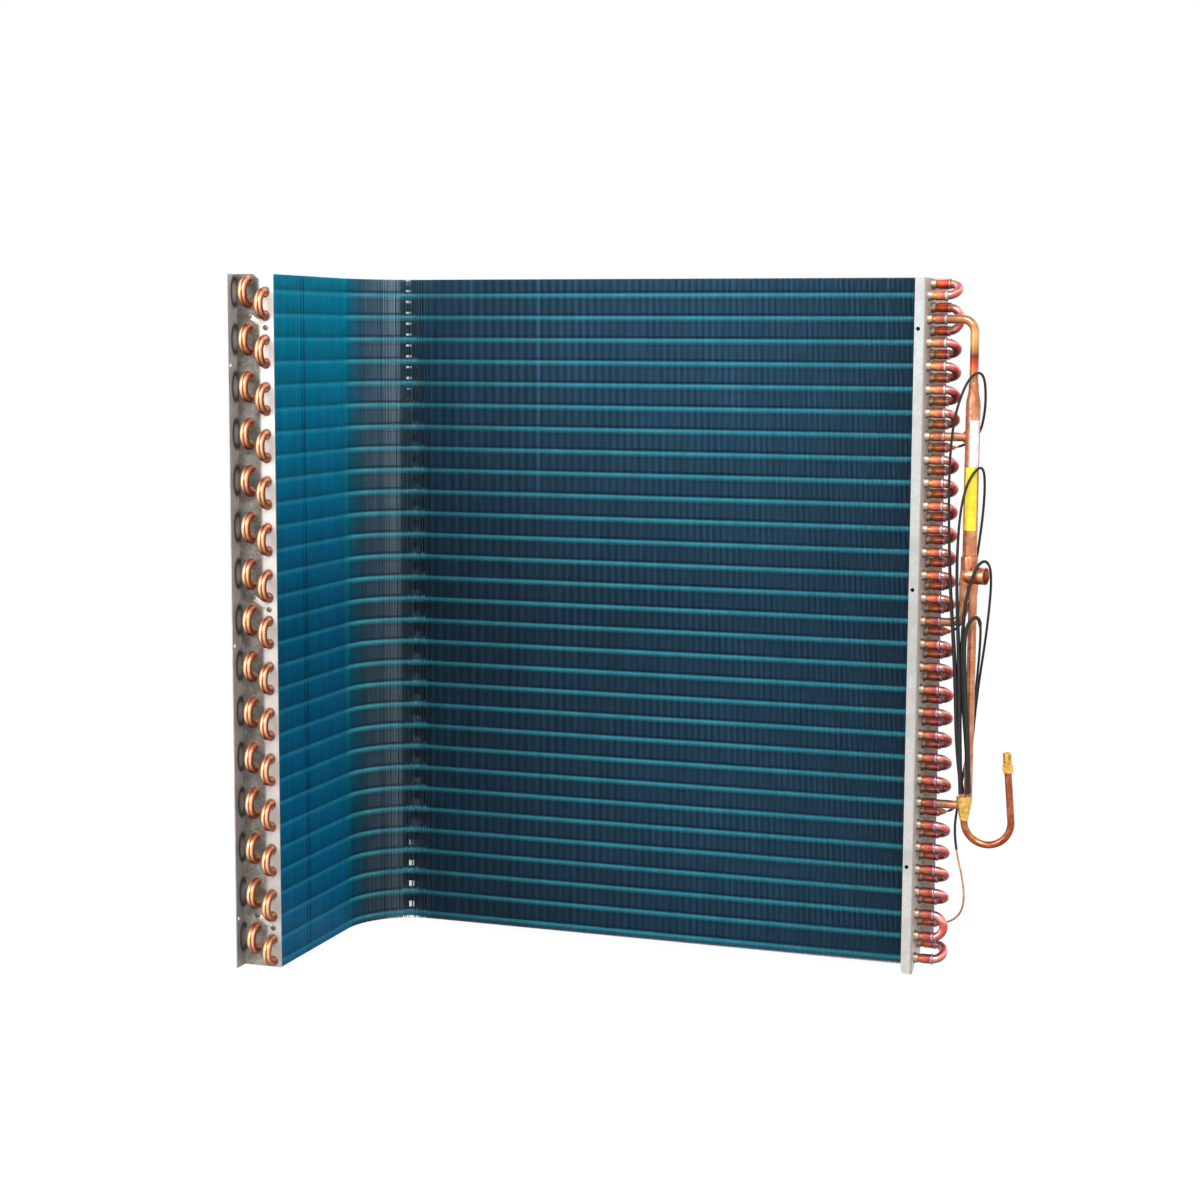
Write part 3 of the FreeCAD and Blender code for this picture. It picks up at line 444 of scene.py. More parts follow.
def paintHighlightStripes(finish, side, highlights, shadeSeams, lift, highlightTone, dark):
    turn = attribute(finish, side)
    # dark seams of painted shade, then painted highlight lines over them
    shaded = blended(finish, ramp(finish, turn, shadeSeams), skinOf(finish), dark)
    part = ramp(finish, attribute(finish, "lift"), lift)
    share = reckon(finish, "MULTIPLY", ramp(finish, turn, highlights), part)
    return paint(finish, blended(finish, share, shaded, highlightTone))


# copper: painted highlight tone, pale tone, painted shade tone, and darkest tone (painted shade on the under side and
# the grime spots' colour), roughness and share of the grime spots
pipeTones = ((236, 190, 150), (206, 134, 97), (158, 88, 57), (92, 45, 31), 0.24, 0.4)
endTones = ((250, 186, 140), (228, 134, 92), (160, 70, 48), (78, 32, 24), 0.24, 0.4)
coppers = {
    "HairpinCopper": ((226, 138, 104), (204, 108, 70), (150, 68, 40), (74, 30, 20), 0.3, 0.3),
    "TubeEndCopperNear": endTones,
    "TubeEndCopperFar": endTones,
    "BrazedCopper": ((250, 206, 194), (214, 96, 88), (142, 42, 46), (80, 18, 28), 0.18, 0.4),
    # the right sheet's collars: their cream is a painted highlight
    "CollarHighlight": ((250, 226, 190), (190, 160, 134), (140, 112, 94), (84, 62, 52), 0.36, 0.1),
    "HeatedGasPipe": pipeTones,
    "DuskyGasPipe": pipeTones,
    "PipeCopper": pipeTones,
    "BranchCopper": ((246, 190, 160), (220, 140, 110), (176, 92, 70), (100, 44, 34), 0.24, 0.4),
    "TeeCopper": ((250, 200, 160), (220, 140, 100), (170, 88, 58), (96, 44, 30), 0.28, 0.6),
    "LiquidPipeCopper": ((214, 130, 86), (162, 84, 48), (116, 50, 27), (60, 23, 14), 0.2, 0.4),
    "AdaptorCopper": ((236, 170, 130), (206, 116, 80), (160, 72, 46), (84, 36, 26), 0.24, 0.4),
}


def copper(name):
    # drawn copper: painted shade on the under side and a painted highlight on the upper side, with cloudy patches
    # between the two, dark spots where grime gathers and fine drawing lines
    highlightTone, pale, deepShade, grimeAndShadeTone, shine, grime = coppers[name]
    finish = newFinish(name, Metallic=0.62)
    patchy = reckon(finish, "MULTIPLY_ADD", cloud(finish, 70, 4), 0.7, -0.35)
    level = reckon(finish, "ADD", attribute(finish, "crown"), patchy)
    # painted shade below and a painted highlight band above, by how high each point sits on its ring
    skin = ramp(finish, level, [(0.02, grimeAndShadeTone), (0.22, deepShade), (0.50, pale), (0.72, highlightTone), (0.86, pale), (1.0, deepShade)])
    spots = ramp(finish, cloud(finish, 210, 5), [(0.52, 0.0), (0.70, grime)])
    paint(finish, blended(finish, spots, skin, grimeAndShadeTone))
    roughen(finish, 140, shine - 0.08, shine + 0.16, 4)
    bumped(finish, 420, 0.2, 0.0003)
    for axis, tints in heatTints.get(name, ()):
        tinted(finish, axis, tints)
    if name in stripes:
        paintHighlightStripes(finish, *stripes[name])
    if name in levels:
        paint(finish, byHeight(finish, skinOf(finish), name))
    return finish


# plain finishes: colour, colour of the soft patches, roughness, metallic and the patches' scale
plains = {
    "CoatedCollars": ((30, 140, 165), (16, 96, 120), 0.4, 0.2, 120),
    "CollarShade": ((150, 124, 108), (112, 90, 76), 0.4, 0.4, 160),
    "TurnedBrass": ((240, 200, 112), (196, 146, 62), 0.2, 0.75, 220),
    "BlackSleeve": ((15, 13, 13), (9, 8, 8), 0.55, 0.0, 240),
    "WhiteFilm": ((236, 232, 234), (222, 216, 218), 0.45, 0.0, 120),
    "YellowFilm": ((242, 220, 50), (226, 200, 34), 0.45, 0.0, 120),
    "RivetSteel": ((122, 116, 108), (86, 80, 74), 0.4, 0.7, 300),
}


def plainFinish(name):
    colour, second, roughness, metallic, scale = plains[name]
    finish = newFinish(name, Metallic=metallic)
    roughen(finish, scale * 2, roughness - 0.07, roughness + 0.1)
    bumped(finish, scale * 4, 0.12, 0.0003, 2)
    return paint(finish, ramp(finish, cloud(finish, scale, 4), [(0.4, colour), (0.65, second)]))


# zinc: pale, middle and stained tone, scale of the stains and of the spangle
zincs = {
    "RightSheetZinc": ((197, 196, 194), (185, 184, 182), (172, 170, 166), 40, 420),
    "LeftSheetZinc": ((130, 126, 120), (102, 97, 91), (72, 63, 52), 60, 420),
    "StrapZinc": ((222, 218, 206), (200, 194, 182), (170, 160, 146), 120, 260),
}


def galvanised(name):
    # zinc spangle: cells of slightly different grey, with cloudy stains over them
    pale, middle, stain, scale, grain = zincs[name]
    finish = newFinish(name, Metallic=0.35)
    cells = addNode(finish, "ShaderNodeTexVoronoi", {"Vector": places(finish), "Scale": grain})
    spangle = addNode(finish, "ShaderNodeSeparateColor", {"Color": cells.outputs["Color"]})
    zinc = ramp(finish, spangle.outputs["Red"], [(0.0, middle), (1.0, pale)])
    stains = ramp(finish, cloud(finish, scale, 5), [(0.45, 0.0), (0.68, 0.8)])
    roughen(finish, scale * 2, 0.35, 0.6)
    bumped(finish, scale * 5, 0.15, 0.0004)
    return paint(finish, blended(finish, stains, zinc, stain))


rightSheet = {
    "flange": (0.0004, 0.0016),  # depth over which the flange gives way to the plate
    "roll": (0.0024, 0.0012),  # distance from the outer face over which the flange rolls into the plate, painted as a strip of shade
    "foldShadeColour": (148, 138, 130),
    "plate": [(0.38, (212, 206, 200)), (0.62, (188, 182, 176))],
}


def rightSheetZinc():
    # the flange is pale, with a duller strip of painted shade where it rolls into the plate
    finish = galvanised("RightSheetZinc")
    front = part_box("tube_sheet_right")[0][1]
    behind = spread(finish, axisPlace(finish, "Y"), *(front + depth for depth in rightSheet["flange"]))
    inward = reckon(finish, "SUBTRACT", home[0] + coil["sheetWall"], axisPlace(finish, "X"))
    foldShaded = blended(finish, spread(finish, inward, *rightSheet["roll"]), skinOf(finish), rightSheet["foldShadeColour"])
    plate = ramp(finish, cloud(finish, 160, 4), rightSheet["plate"])
    return paint(finish, blended(finish, behind, byHeight(finish, foldShaded, "rightFlange"), plate))


leftSheet = {
    "flange": 0.0013,  # thickness of the flange, measured from the fold
    "litWhite": (0.0275, 0.0310),  # where the grey part turns white, painted light behind the near row
    # pale: the painted light of the white part
    "pale": [(0.35, (236, 232, 228)), (0.65, (224, 218, 214))],
    "flangeGrey": [(0.35, (176, 170, 166)), (0.65, (196, 191, 187))],
    "hairpinReflection": (0.0075, 0.0150),  # half the width and half the height of the dark rings on the flange, a painted reflection of the hairpins
    "hairpinReflectionPlace": 0.0045,  # from the fold
    "hairpinReflectionEnd": 0.0034,
    # ring: how dark the painted reflection is across its ellipse
    "ring": [(0.0, 0.0), (0.18, 0.35), (0.36, 0.9), (0.56, 0.9), (0.75, 0.2), (1.0, 0.0)],
    "reflectionColour": (56, 54, 48),
}


def leftSheetZinc():
    # a stained grey plate that turns nearly white behind the near row, as painted light; on the flange a dark ring
    # beside each hairpin, a painted reflection of it, as an ellipse: (depth / half width) squared + (height / half
    # height) squared
    finish = galvanised("LeftSheetZinc")
    low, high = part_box("tube_sheet_left")
    across = reckon(finish, "SUBTRACT", axisPlace(finish, "X"), low[0])
    stainedAndLit = byHeight(finish, skinOf(finish), "leftPlateLighting")
    pale, flangeGrey = (ramp(finish, cloud(finish, 45, 4), leftSheet[part]) for part in ("pale", "flangeGrey"))
    plate = blended(finish, spread(finish, across, *leftSheet["litWhite"]), stainedAndLit, byHeight(finish, pale, "leftWhiteLighting"))
    wide, tall = leftSheet["hairpinReflection"]
    step = 2 * coil["tubeStep"]
    middle = home[2] + tubeHeight("far", 1.5) - step / 2
    depth = reckon(finish, "SUBTRACT", axisPlace(finish, "Y"), high[1] - leftSheet["hairpinReflectionPlace"])
    depth = reckon(finish, "DIVIDE", depth, wide)
    wrapped = reckon(finish, "WRAP", reckon(finish, "SUBTRACT", axisPlace(finish, "Z"), middle), step, 0.0)
    height = reckon(finish, "DIVIDE", reckon(finish, "SUBTRACT", wrapped, step / 2), tall)
    squared = reckon(finish, "MULTIPLY_ADD", height, height, reckon(finish, "MULTIPLY", depth, depth))
    dark = ramp(finish, reckon(finish, "MULTIPLY", squared, 0.5), leftSheet["ring"])
    thin = reckon(finish, "GREATER_THAN", across, leftSheet["flange"])
    whole = blended(finish, thin, byHeight(finish, flangeGrey, "leftFlangeLighting"), plate)
    near = reckon(finish, "LESS_THAN", across, leftSheet["hairpinReflectionEnd"])
    inner = reckon(finish, "GREATER_THAN", across, coil["sheetWall"] / 2)  # the flange's outer face gets no painted reflection
    reflectionShare = reckon(finish, "MULTIPLY", dark, reckon(finish, "MULTIPLY", near, inner))
    return paint(finish, blended(finish, reflectionShare, whole, leftSheet["reflectionColour"]))


# Fins: thin sheets, each with a little wobble of its own

fins = {
    "pitch": 0.0014,  # 18 fins to the inch
    "wall": 0.0002,
    "depthParts": 3,
    "heightParts": 14,
    "wobble": 0.0001,
    "waves": (1.0, 2.6),  # waves of the wobble over the height
    "lean": 0.5,  # how far a fin leans, against its wobble
    "tight": 0.35,  # share of the wobble that is left between the tubes
    "seed": 7,
    "rib": 0.03,  # every second fin is so much lighter, and the others darker
    "stray": {"long": 0.04, "short": 0.05, "corner": 0.07},  # how far the fins' brightness strays
    "slant": 1.2,  # degrees by which the corner's fins run back towards the short leg
    "slantStart": 15,  # degrees from the corner's ends at which the slant is whole
    "skew": 0.0006,  # how far the edges of the corner's fins stray
    "bow": 0.0018,  # how far the corner's fins bow to one side
    "collar": 0.0053,  # radius of the fins' collars round the tubes
    "stripes": (0.0058, 0.0108),  # width of a light and a dark stripe together, at the right sheet and at the corner
    "stripeDepth": 0.28,
    "shortStripes": ((0.0075, 0.07), (0.0193, 0.04)),  # width of a stripe pair on the short leg, and its strength
    "markWidth": 0.002,
    "paleFins": {0.041: 0.88, 0.447: 0.7, 0.531: 0.72},  # distance from the right sheet: lowest height of the mark
    "paleGain": 1.5,
    "darkFins": {0.098: 0.55, 0.105: 0.7},  # distance from the corner: how much of its light a fin keeps
    "shortMarks": (0.2, 0.45),  # strength of the painted tube highlights and of the painted shade bands on the short leg
}
depthShare = np.linspace(0, 1, fins["depthParts"] + 1)
finLoop = np.concatenate([depthShare, depthShare[::-1]])  # along one face and back along the other
finRise = np.linspace(0, 1, fins["heightParts"] + 1)


def finSheets(starts, ends, bow, skew):
    # Each sheet spans from its start to its end in plan. Its two faces lie half a wall either
    # side of start + share of depth * (end - start) + wobble * sine of the height. A bow adds
    # its own size * sine of (pi * share of depth), and a skew turns each sheet by chance.
    count = len(starts)
    run = ends - starts
    side = unit(np.stack([-run[:, 1], run[:, 0]], -1))
    face = np.repeat([-0.5, 0.5], len(depthShare)) * fins["wall"]
    dice = np.random.default_rng(fins["seed"] + count)
    phase = dice.uniform(0, 2 * np.pi, (count, 1, 1))
    waves = dice.uniform(*fins["waves"], (count, 1, 1))
    lean = dice.normal(0, fins["wobble"] * fins["lean"], (count, 1, 1))
    bend = fins["wobble"] * np.sin(phase + waves * 2 * np.pi * finRise[None, :, None])
    # the front edge wanders more than the part between the tubes
    loose = fins["tight"] + (1 - fins["tight"]) * np.abs(2 * finLoop - 1)
    shift = (bend + lean) * loose + face + np.reshape(bow, (-1, 1)) * np.sin(np.pi * finLoop)
    shift = shift + dice.uniform(-skew, skew, (count, 1, 1)) * (2 * finLoop - 1)
    plan = starts[:, None, None] + finLoop[:, None] * run[:, None, None]
    plan = plan + shift[..., None] * side[:, None, None]
    height = np.broadcast_to((home[2] + finRise * coil["finHeight"])[:, None, None], shift.shape + (1,))
    return np.concatenate([plan, height], -1)


def makeFins(node, starts, ends, tone, mark, finish, bow=0.0, skew=0.0):
    grid = finSheets(starts, ends, bow, skew)
    piece = dress("thin", node, list(grid), finish, 30)
    for label, values in (("tone", tone), ("marks", mark)):
        layer = piece.data.color_attributes.new(label, "FLOAT_COLOR", "POINT")
        colours = np.ones(grid.shape[:3] + (4,))
        colours[..., :3] = values
        layer.data.foreach_set("color", colours.ravel().astype(np.float32))


def spreadTone(leg, count, front, middle, back):
    # colour goes from front to back through the depth, darker in between as painted shade, and each fin has a
    # brightness of its own
    share = finLoop[:, None]
    tone = np.where(share < 0.5, front + (middle - front) * share * 2, middle + (back - middle) * (share * 2 - 1))
    dice = np.random.default_rng(fins["seed"] * 3 + count)
    gain = 1 + fins["rib"] * (1 - 2 * (np.arange(count) % 2)) + dice.normal(0, fins["stray"][leg], count)
    return np.ones((len(finRise), 1, 1)) * tone * gain[:, None, None, None]


# marks for the coating: strength of the painted tube highlights (red) and painted shade bands (green), and the row flag
# (blue)
def markFins(count, highlights, bands=0.0):
    mark = np.zeros((count, len(finRise), len(finLoop), 3))
    mark[..., 0] = np.reshape(highlights, (-1, 1, 1))
    mark[..., 1] = np.reshape(bands, (-1, 1, 1))
    mark[..., 2] = finLoop > 0.5
    return mark


# coating tones: the front tones are the one coating as lit on each leg, painted light; deep is painted shade inside the
# fins
toneColours = {
    "longFront": (76, 134, 172),
    "shortFront": (0, 160, 192),
    "deepShade": (10, 60, 84),
    "back": (20, 120, 150),
    # bare: near white, painted light for the last fin of the short leg
    "bare": (232, 238, 240),
}
light = {name: np.array(rgb(*colour)[:3]) for name, colour in toneColours.items()}
# places for tones, which paint light and shade: shares of a leg's length or height, degrees round the corner, and how
# strong each is
legTones = {
    "along": ([0.0, 0.17, 0.30, 0.64, 0.9, 1.0], [0.55, 0.56, 0.70, 0.90, 0.72, 0.45]),
    "rise": ([0.0, 0.15, 0.5, 0.85, 1.0], [0.62, 0.70, 0.58, 0.95, 0.95]),
    "highlights": ([0.0, 0.3, 0.6, 1.0], [0.5, 0.85, 1.0, 0.75]),
    "shortRise": ([0.0, 0.15, 0.5, 0.85, 1.0], [0.48, 0.46, 0.36, 0.70, 0.80]),
    "shortBlue": ([0.0, 0.55, 1.0], [1.35, 1.35, 1.0]),
    "cornerRise": ([0.0, 0.5, 0.8, 1.0], [0.50, 0.45, 0.70, 1.0]),
    "cornerHighlights": ([0, 10, 30, 60, 78, 90], [0.5, 0.5, 0.85, 0.75, 0.5, 0.2]),
    "cornerShadeBands": ([60, 84], [0, 0.45]),
}
# front tones round the corner, by degrees: painted light and shade
cornerTones = {
    0: (54, 104, 134), 10: (62, 102, 126), 25: (84, 124, 144), 28: (150, 188, 208), 34: (166, 194, 210),
    44: (112, 146, 168), 56: (100, 134, 158), 64: (72, 124, 148), 78: (20, 132, 164), 84: (4, 150, 182),
    90: (0, 160, 192),
}


def toneAt(where, name):
    return np.interp(where, *legTones[name])


def finPlaces(high, low):
    count = int((high - low) / fins["pitch"])
    return count, high - (np.arange(count) + 0.5) * (high - low) / count


def longLegFins(finish):
    length = longHigh[0] - longLow[0]
    count, x = finPlaces(longHigh[0], longLow[0])
    starts, ends = (np.stack([x, np.full(count, y)], -1) for y in (longLow[1], longHigh[1]))
    distance = longHigh[0] - x
    along = 1 - distance / length
    near, far = fins["stripes"]
    # stripes counted from the right sheet: the sum of 1 / width, which grows evenly along the leg
    counted = length / (far - near) * np.log(1 + distance / length * (far - near) / near)
    tone = spreadTone("long", count, light["longFront"], light["deepShade"], light["back"])
    tone *= (1 + fins["stripeDepth"] * np.sin(2 * np.pi * counted))[:, None, None, None]
    # painted shade by height: the lower part is darker, and towards the right sheet it darkens less
    tone *= (toneAt(finRise, "rise") ** (1.3 - 0.8 * along[:, None]))[:, :, None, None]
    # painted light and shade along the leg
    tone *= toneAt(along, "along")[:, None, None, None]
    for place, lowest in fins["paleFins"].items():
        tone[np.ix_(np.abs(distance - place) < fins["markWidth"], finRise > lowest)] *= fins["paleGain"]
    makeFins("fins_long_leg", starts, ends, tone, markFins(count, toneAt(along, "highlights")), finish)


def shortLegFins(finish):
    count, y = finPlaces(shortHigh[1], shortLow[1])
    starts, ends = (np.stack([np.full(count, x), y], -1) for x in (shortHigh[0], shortLow[0]))
    tone = spreadTone("short", count, light["shortFront"], light["deepShade"], light["back"])
    # painted shade by height, bluer low down
    tone *= toneAt(finRise, "shortRise")[:, None, None]
    tone[..., 2] *= toneAt(finRise, "shortBlue")[:, None]
    for width, strength in fins["shortStripes"]:
        tone *= (1 + strength * np.sin(2 * np.pi * y / width))[:, None, None, None]
    for distance, keep in fins["darkFins"].items():
        tone[np.abs(shortHigh[1] - y - distance) < fins["markWidth"]] *= keep
    tone[-1] = light["bare"]  # painted light: the last fin, which shows where the sheet's corner is cut, is painted near white as if strongly lit
    markedFins = np.arange(count) < count - 1
    mark = markFins(count, *(strength * markedFins for strength in fins["shortMarks"]))
    makeFins("fins_short_leg", starts, ends, tone, mark, finish)


def cornerFins(finish):
    middleRadius = coil["cornerRadius"] + coil["finDepth"] / 2
    count = int(middleRadius * math.pi / 2 / fins["pitch"])
    turn = (np.arange(count) + 0.5) * math.pi / 2 / count
    degrees = np.degrees(turn)
    slant = np.clip(np.minimum(degrees, 90 - degrees) / fins["slantStart"], 0, 1) * math.radians(fins["slant"])
    starts = roundCorner(coil["cornerRadius"], turn)
    ends = roundCorner(coil["cornerRadius"] + coil["finDepth"], turn + slant)
    colours = np.array([rgb(*colour)[:3] for colour in cornerTones.values()])
    front = np.stack([np.interp(degrees, list(cornerTones), colours[:, part]) for part in range(3)], -1)
    tone = spreadTone("corner", count, 1.0, 0.5, 0.4) * front[:, None, None]
    # painted shade by height
    tone *= toneAt(finRise, "cornerRise")[:, None, None]
    tone[:, :, finLoop > 0.5] = light["back"]
    mark = markFins(count, toneAt(degrees, "cornerHighlights"), toneAt(degrees, "cornerShadeBands"))
    # the corner's fins stand true near the top and the foot, and bow to one side between
    bow = fins["bow"] * np.clip((0.86 - finRise) / 0.07, 0, 1) * np.clip((finRise - 0.10) / 0.06, 0, 1)
    makeFins("fins_corner", starts, ends, tone, mark, finish, bow, fins["skew"])


def tubeRuns(finish):
    # each tube runs straight along the long leg, round a quarter circle and along the short leg
    turn, inset = np.linspace(0, math.pi / 2, 13), 0.0002
    grids = []
    for row, depth in rowDepths.items():
        plan = np.concatenate([[[longHigh[0] - inset, longLow[1] + depth]],
                               roundCorner(coil["cornerRadius"] + depth, turn),
                               [[shortHigh[0] - depth, shortLow[1] + inset]]])
        for number in everyTube:
            height = np.full((len(plan), 1), home[2] + tubeHeight(row, number))
            grids.append(carried(np.concatenate([plan, height], -1), fins["collar"], 14))
    makePiece("tubes_through_fins", grids, finish)


# Copper tubes outside the fins

bends = {
    "sides": 16,
    "steps": 14,
    "hairpinFoot": 0.0035,  # where the hairpins start, from the fins
    "hairpinLead": 0.0034,
    "bendLead": 0.002,
}


def halfRound(start, end, out, lead):
    # straight lead, half circle between the two ends, straight lead back
    middle, across = (start + end) / 2, (start - end) / 2
    turn = np.linspace(0, np.pi, bends["steps"] + 1)[:, None]
    arc = middle + across * np.cos(turn) + out * np.linalg.norm(across) * np.sin(turn)
    return carried(np.concatenate([[start - out * lead], arc, [end - out * lead]]), coil["tubeRadius"], bends["sides"])


def hairpins(row, finish):
    grids = []
    for number in everyTube[::2]:
        start, end = (leftEnd(row, tube, bends["hairpinFoot"]) for tube in (number, number + 1))
        grids.append(halfRound(start, end, outFront, bends["hairpinLead"]))
    dress("round", f"hairpins_{rowNames[row]}", grids, finish)


tubeEnds = {
    "bellStart": 0.0075,
    "bellRadius": 0.0054,
    "ringRadius": 0.0060,
    "ringStart": 0.0201,
    "ringEnd": 0.0229,
}


def belledTubes(row, finish):
    # profile: plain tube, flare, bell, braze ring, and back in to the bend
    radius, bell, ring = coil["tubeRadius"], tubeEnds["bellRadius"], tubeEnds["ringRadius"]
    first, last, flare = tubeEnds["ringStart"], tubeEnds["ringEnd"], tubeEnds["bellStart"]
    profile = [(radius, 0), (radius, flare), (bell - 0.0002, flare + 0.0018), (bell, flare + 0.003),
               (bell, first), (ring, first + 0.0003), (ring + 0.0001, first + 0.0012),
               (radius + 0.0005, last - 0.0004), (radius - 0.0002, last)]
    grids = [turned(profile, rightEnd(row, number, 0), outRight, 20) for number in everyTube]
    dress("belled", f"tube_ends_{rowNames[row]}", grids, finish, crease=50)


def slanted(first, last):
    # bends from each near tube to the far tube one step lower
    return [(("near", number), ("far", number + 1)) for number in range(first, last + 1)]


circuits = {
    1: slanted(3, 6) + [(("near", 1), ("far", 1)), (("far", 2), ("far", 3))],
    2: slanted(8, 14),
    3: slanted(16, 22),
    4: slanted(24, 27) + [(("near", 28), ("near", 29)), (("near", 30), ("far", 30))],
}


def returnBends(circuit, finish):
    grids = [halfRound(rightEnd(*first), rightEnd(*second), outRight, bends["bendLead"])
             for first, second in circuits[circuit]]
    makePiece(f"round_bends_circuit_{circuit}", grids, finish, f"return_bends_circuit_{circuit}")


collars = {
    "inner": 0.0045,
    "outer": 0.0063,
    "rise": {"right": 0.0046, "left": 0.0006},
    "lip": {"right": 0.0050, "left": 0.0058},
}


def sheetCollars(side, finish):
    # the rim that is drawn out of the sheet round each tube: it narrows from outer to lip
    inner, outer = collars["inner"], collars["outer"]
    rise, lip = collars["rise"][side], collars["lip"][side]
    profile = [(inner, -0.0004), (outer, -0.0004), (outer - 0.0002, rise * 0.1), ((outer + lip) / 2, rise * 0.4),
               (lip + 0.0001, rise * 0.9), (lip - 0.0001, rise), (inner, rise * 0.98)]
    end, out = (rightEnd, outRight) if side == "right" else (leftEnd, outFront)
    grids = [turned(profile, end(row, number, coil["sheetWall"]), out, 18) for row in rowDepths for number in everyTube]
    makePiece(f"rolled_collars_{side}_sheet", grids, finish)


# Gas side

gas = {
    "tubes": {1: 2, 2: 7, 3: 15, 4: 23},  # near tube that each circuit's gas comes out of
    "pipe": coil["tubeRadius"],
    "bend": 0.014,
    "lead": 0.003,  # how far a pipe starts inside its tube end
    "headerX": 0.0523,
    "headerRadius": 0.00794,
    "headerTop": 0.625,
    "headerFoot": 0.461,
    "neckRadius": 0.0055,
    "neckRise": 0.018,
    "neckSocket": 0.006,
    "teeRadius": 0.0094,
    "teeCollar": 0.011,
    "teeTaper": 0.022,
    "branchX": 0.0466,
    "farPipeX": 0.0569,
    "socketRadius": 0.0054,
    "socketRise": 0.010,
    "outletRadius": 0.00952,
    "outletWall": 0.0011,
    "outletDepth": 0.012,
    "outletReach": 0.020,
    "outletTurn": 16,
    "outletDrop": 0.010,
}
neckTop = gas["headerTop"] + gas["neckRise"] + gas["neckSocket"]
collarFoot = gas["headerFoot"] - gas["teeCollar"]
outletHeight = collarFoot - gas["outletDrop"]
bellFoot = outletHeight - gas["outletRadius"] - gas["socketRise"]


def gasPipe(circuit, x, top, finish):
    # out of a near tube end, round a quarter circle, then upright at x to the height top
    height = tubeHeight("near", gas["tubes"][circuit])
    way = 1 if top > height else -1
    turn = np.linspace(0, np.pi / 2, 11)
    across = x - gas["bend"] + gas["bend"] * np.sin(turn)
    rise = height + way * gas["bend"] * (1 - np.cos(turn))
    xs = np.concatenate([[coil["tubeEnd"] - gas["lead"]], across, [x]])
    zs = np.concatenate([[height], rise, [top]])
    path = home + np.stack([xs, np.full(len(xs), rowDepths["near"]), zs], -1)
    dress("round", f"gas_pipe_circuit_{circuit}", [carried(path, gas["pipe"], 20)], finish)


def gasHeader(finish):
    # straight barrel, eased shoulder, neck with a rolled rim round the pipe
    barrel, neck, pipe = gas["headerRadius"], gas["neckRadius"], gas["pipe"]
    height, top = gas["headerTop"] - gas["headerFoot"], neckTop - gas["headerFoot"]
    share = np.linspace(0, 1, 9)
    shoulder = np.stack([barrel + (neck - barrel) * eased(share), height + share * gas["neckRise"]], -1)
    rim = [(neck, top - 0.001), (neck - 0.0002, top - 0.0003), (pipe - 0.0002, top)]
    profile = np.concatenate([[(barrel, 0)], shoulder, rim])
    dress("round", "gas_header", [turned(profile, inRow(gas["headerX"], gas["headerFoot"]), outUp, 32)], finish)


def gasBranch(finish):
    pipe, start = gas["pipe"], rightEnd("near", gas["tubes"][2])
    reach = gas["headerX"] - coil["tubeEnd"]
    path = start + np.linspace(-gas["lead"], reach - 0.004, 6)[:, None] * outRight
    ring = [(pipe, 0), (pipe + 0.0012, 0.0006), (pipe + 0.0017, 0.0022), (pipe, 0.0034)]
    saddle = turned(ring, start + outRight * (reach - gas["headerRadius"] - 0.0022), outRight, 20)
    dress("round", "gas_branch_circuit_2", [carried(path, pipe, 20), saddle], finish)


def gasTee(finish):
    wide, narrow, rise = gas["teeRadius"], gas["socketRadius"], gas["teeCollar"]
    # the taper: circles that slide from the collar to the third circuit's pipe
    share = np.linspace(0, 1, 9)[:, None]
    ease = eased(share)
    foot, top = inRow(gas["branchX"], collarFoot - gas["teeTaper"]), inRow(gas["headerX"], collarFoot)
    middle = foot + np.concatenate([ease, ease, share], -1) * (top - foot)
    circle = circleOf([1.0, 0, 0], [0, 1.0, 0], 28)
    taper = middle[:, None] + (narrow + (wide - narrow) * ease)[:, :, None] * circle
    collar = turned([(wide, -0.0005), (wide, rise - 0.0012), (wide - 0.0004, rise - 0.0002),
                     (gas["headerRadius"] - 0.0002, rise)], top, outUp, 28)
    # the outlet stub: out along its wall, over the rim and back down its bore
    lean = math.radians(gas["outletTurn"])
    out = np.array([math.cos(lean), -math.sin(lean), 0])
    outer, reach = gas["outletRadius"], gas["outletReach"]
    bore, floor = outer - gas["outletWall"], reach - gas["outletDepth"]
    stub = turned([(outer, -0.004), (outer, reach - 0.0002), (outer - 0.0002, reach), (bore + 0.0002, reach),
                   (bore, reach - 0.0002), (bore, floor), (bore * 0.3, floor - 0.001)],
                  inRow(gas["headerX"], outletHeight), out, 32)
    rise = gas["socketRise"]
    bell = turned([(gas["pipe"] - 0.0002, 0), (narrow, 0.0003), (narrow, rise * 0.6), (narrow + 0.0012, rise + 0.002),
                   (narrow + 0.001, 0.016)], inRow(gas["farPipeX"], bellFoot), outUp, 24)
    dress("round", "gas_tee", [taper, collar, stub, bell], finish)


# Liquid side

liquid = {
    "axisX": 0.0557,
    "axisY": rowDepths["near"] - 0.0155,
    "top": 0.198,
    "headRadius": 0.0088,
    "headRise": 0.008,
    "coneRise": 0.016,
    "noseRadius": 0.005,
    "noseRise": 0.003,
    "holeCircle": 0.0055,
    "pipe": 0.004,
    "bend": 0.0257,
    "lean": 4.8,
    "rise": 0.054,
    "hexRadius": 0.0066,
    "hexRise": 0.009,
    "threadRadius": 0.005,
    "threadRise": 0.013,
    "threadStep": 0.0013,
    "threadDepth": 0.00035,
    "bore": 0.0032,
}
mouthPlace = at(liquid["axisX"], liquid["axisY"], liquid["top"])
noseFoot = mouthPlace - outUp * (liquid["headRise"] + liquid["coneRise"] + liquid["noseRise"])


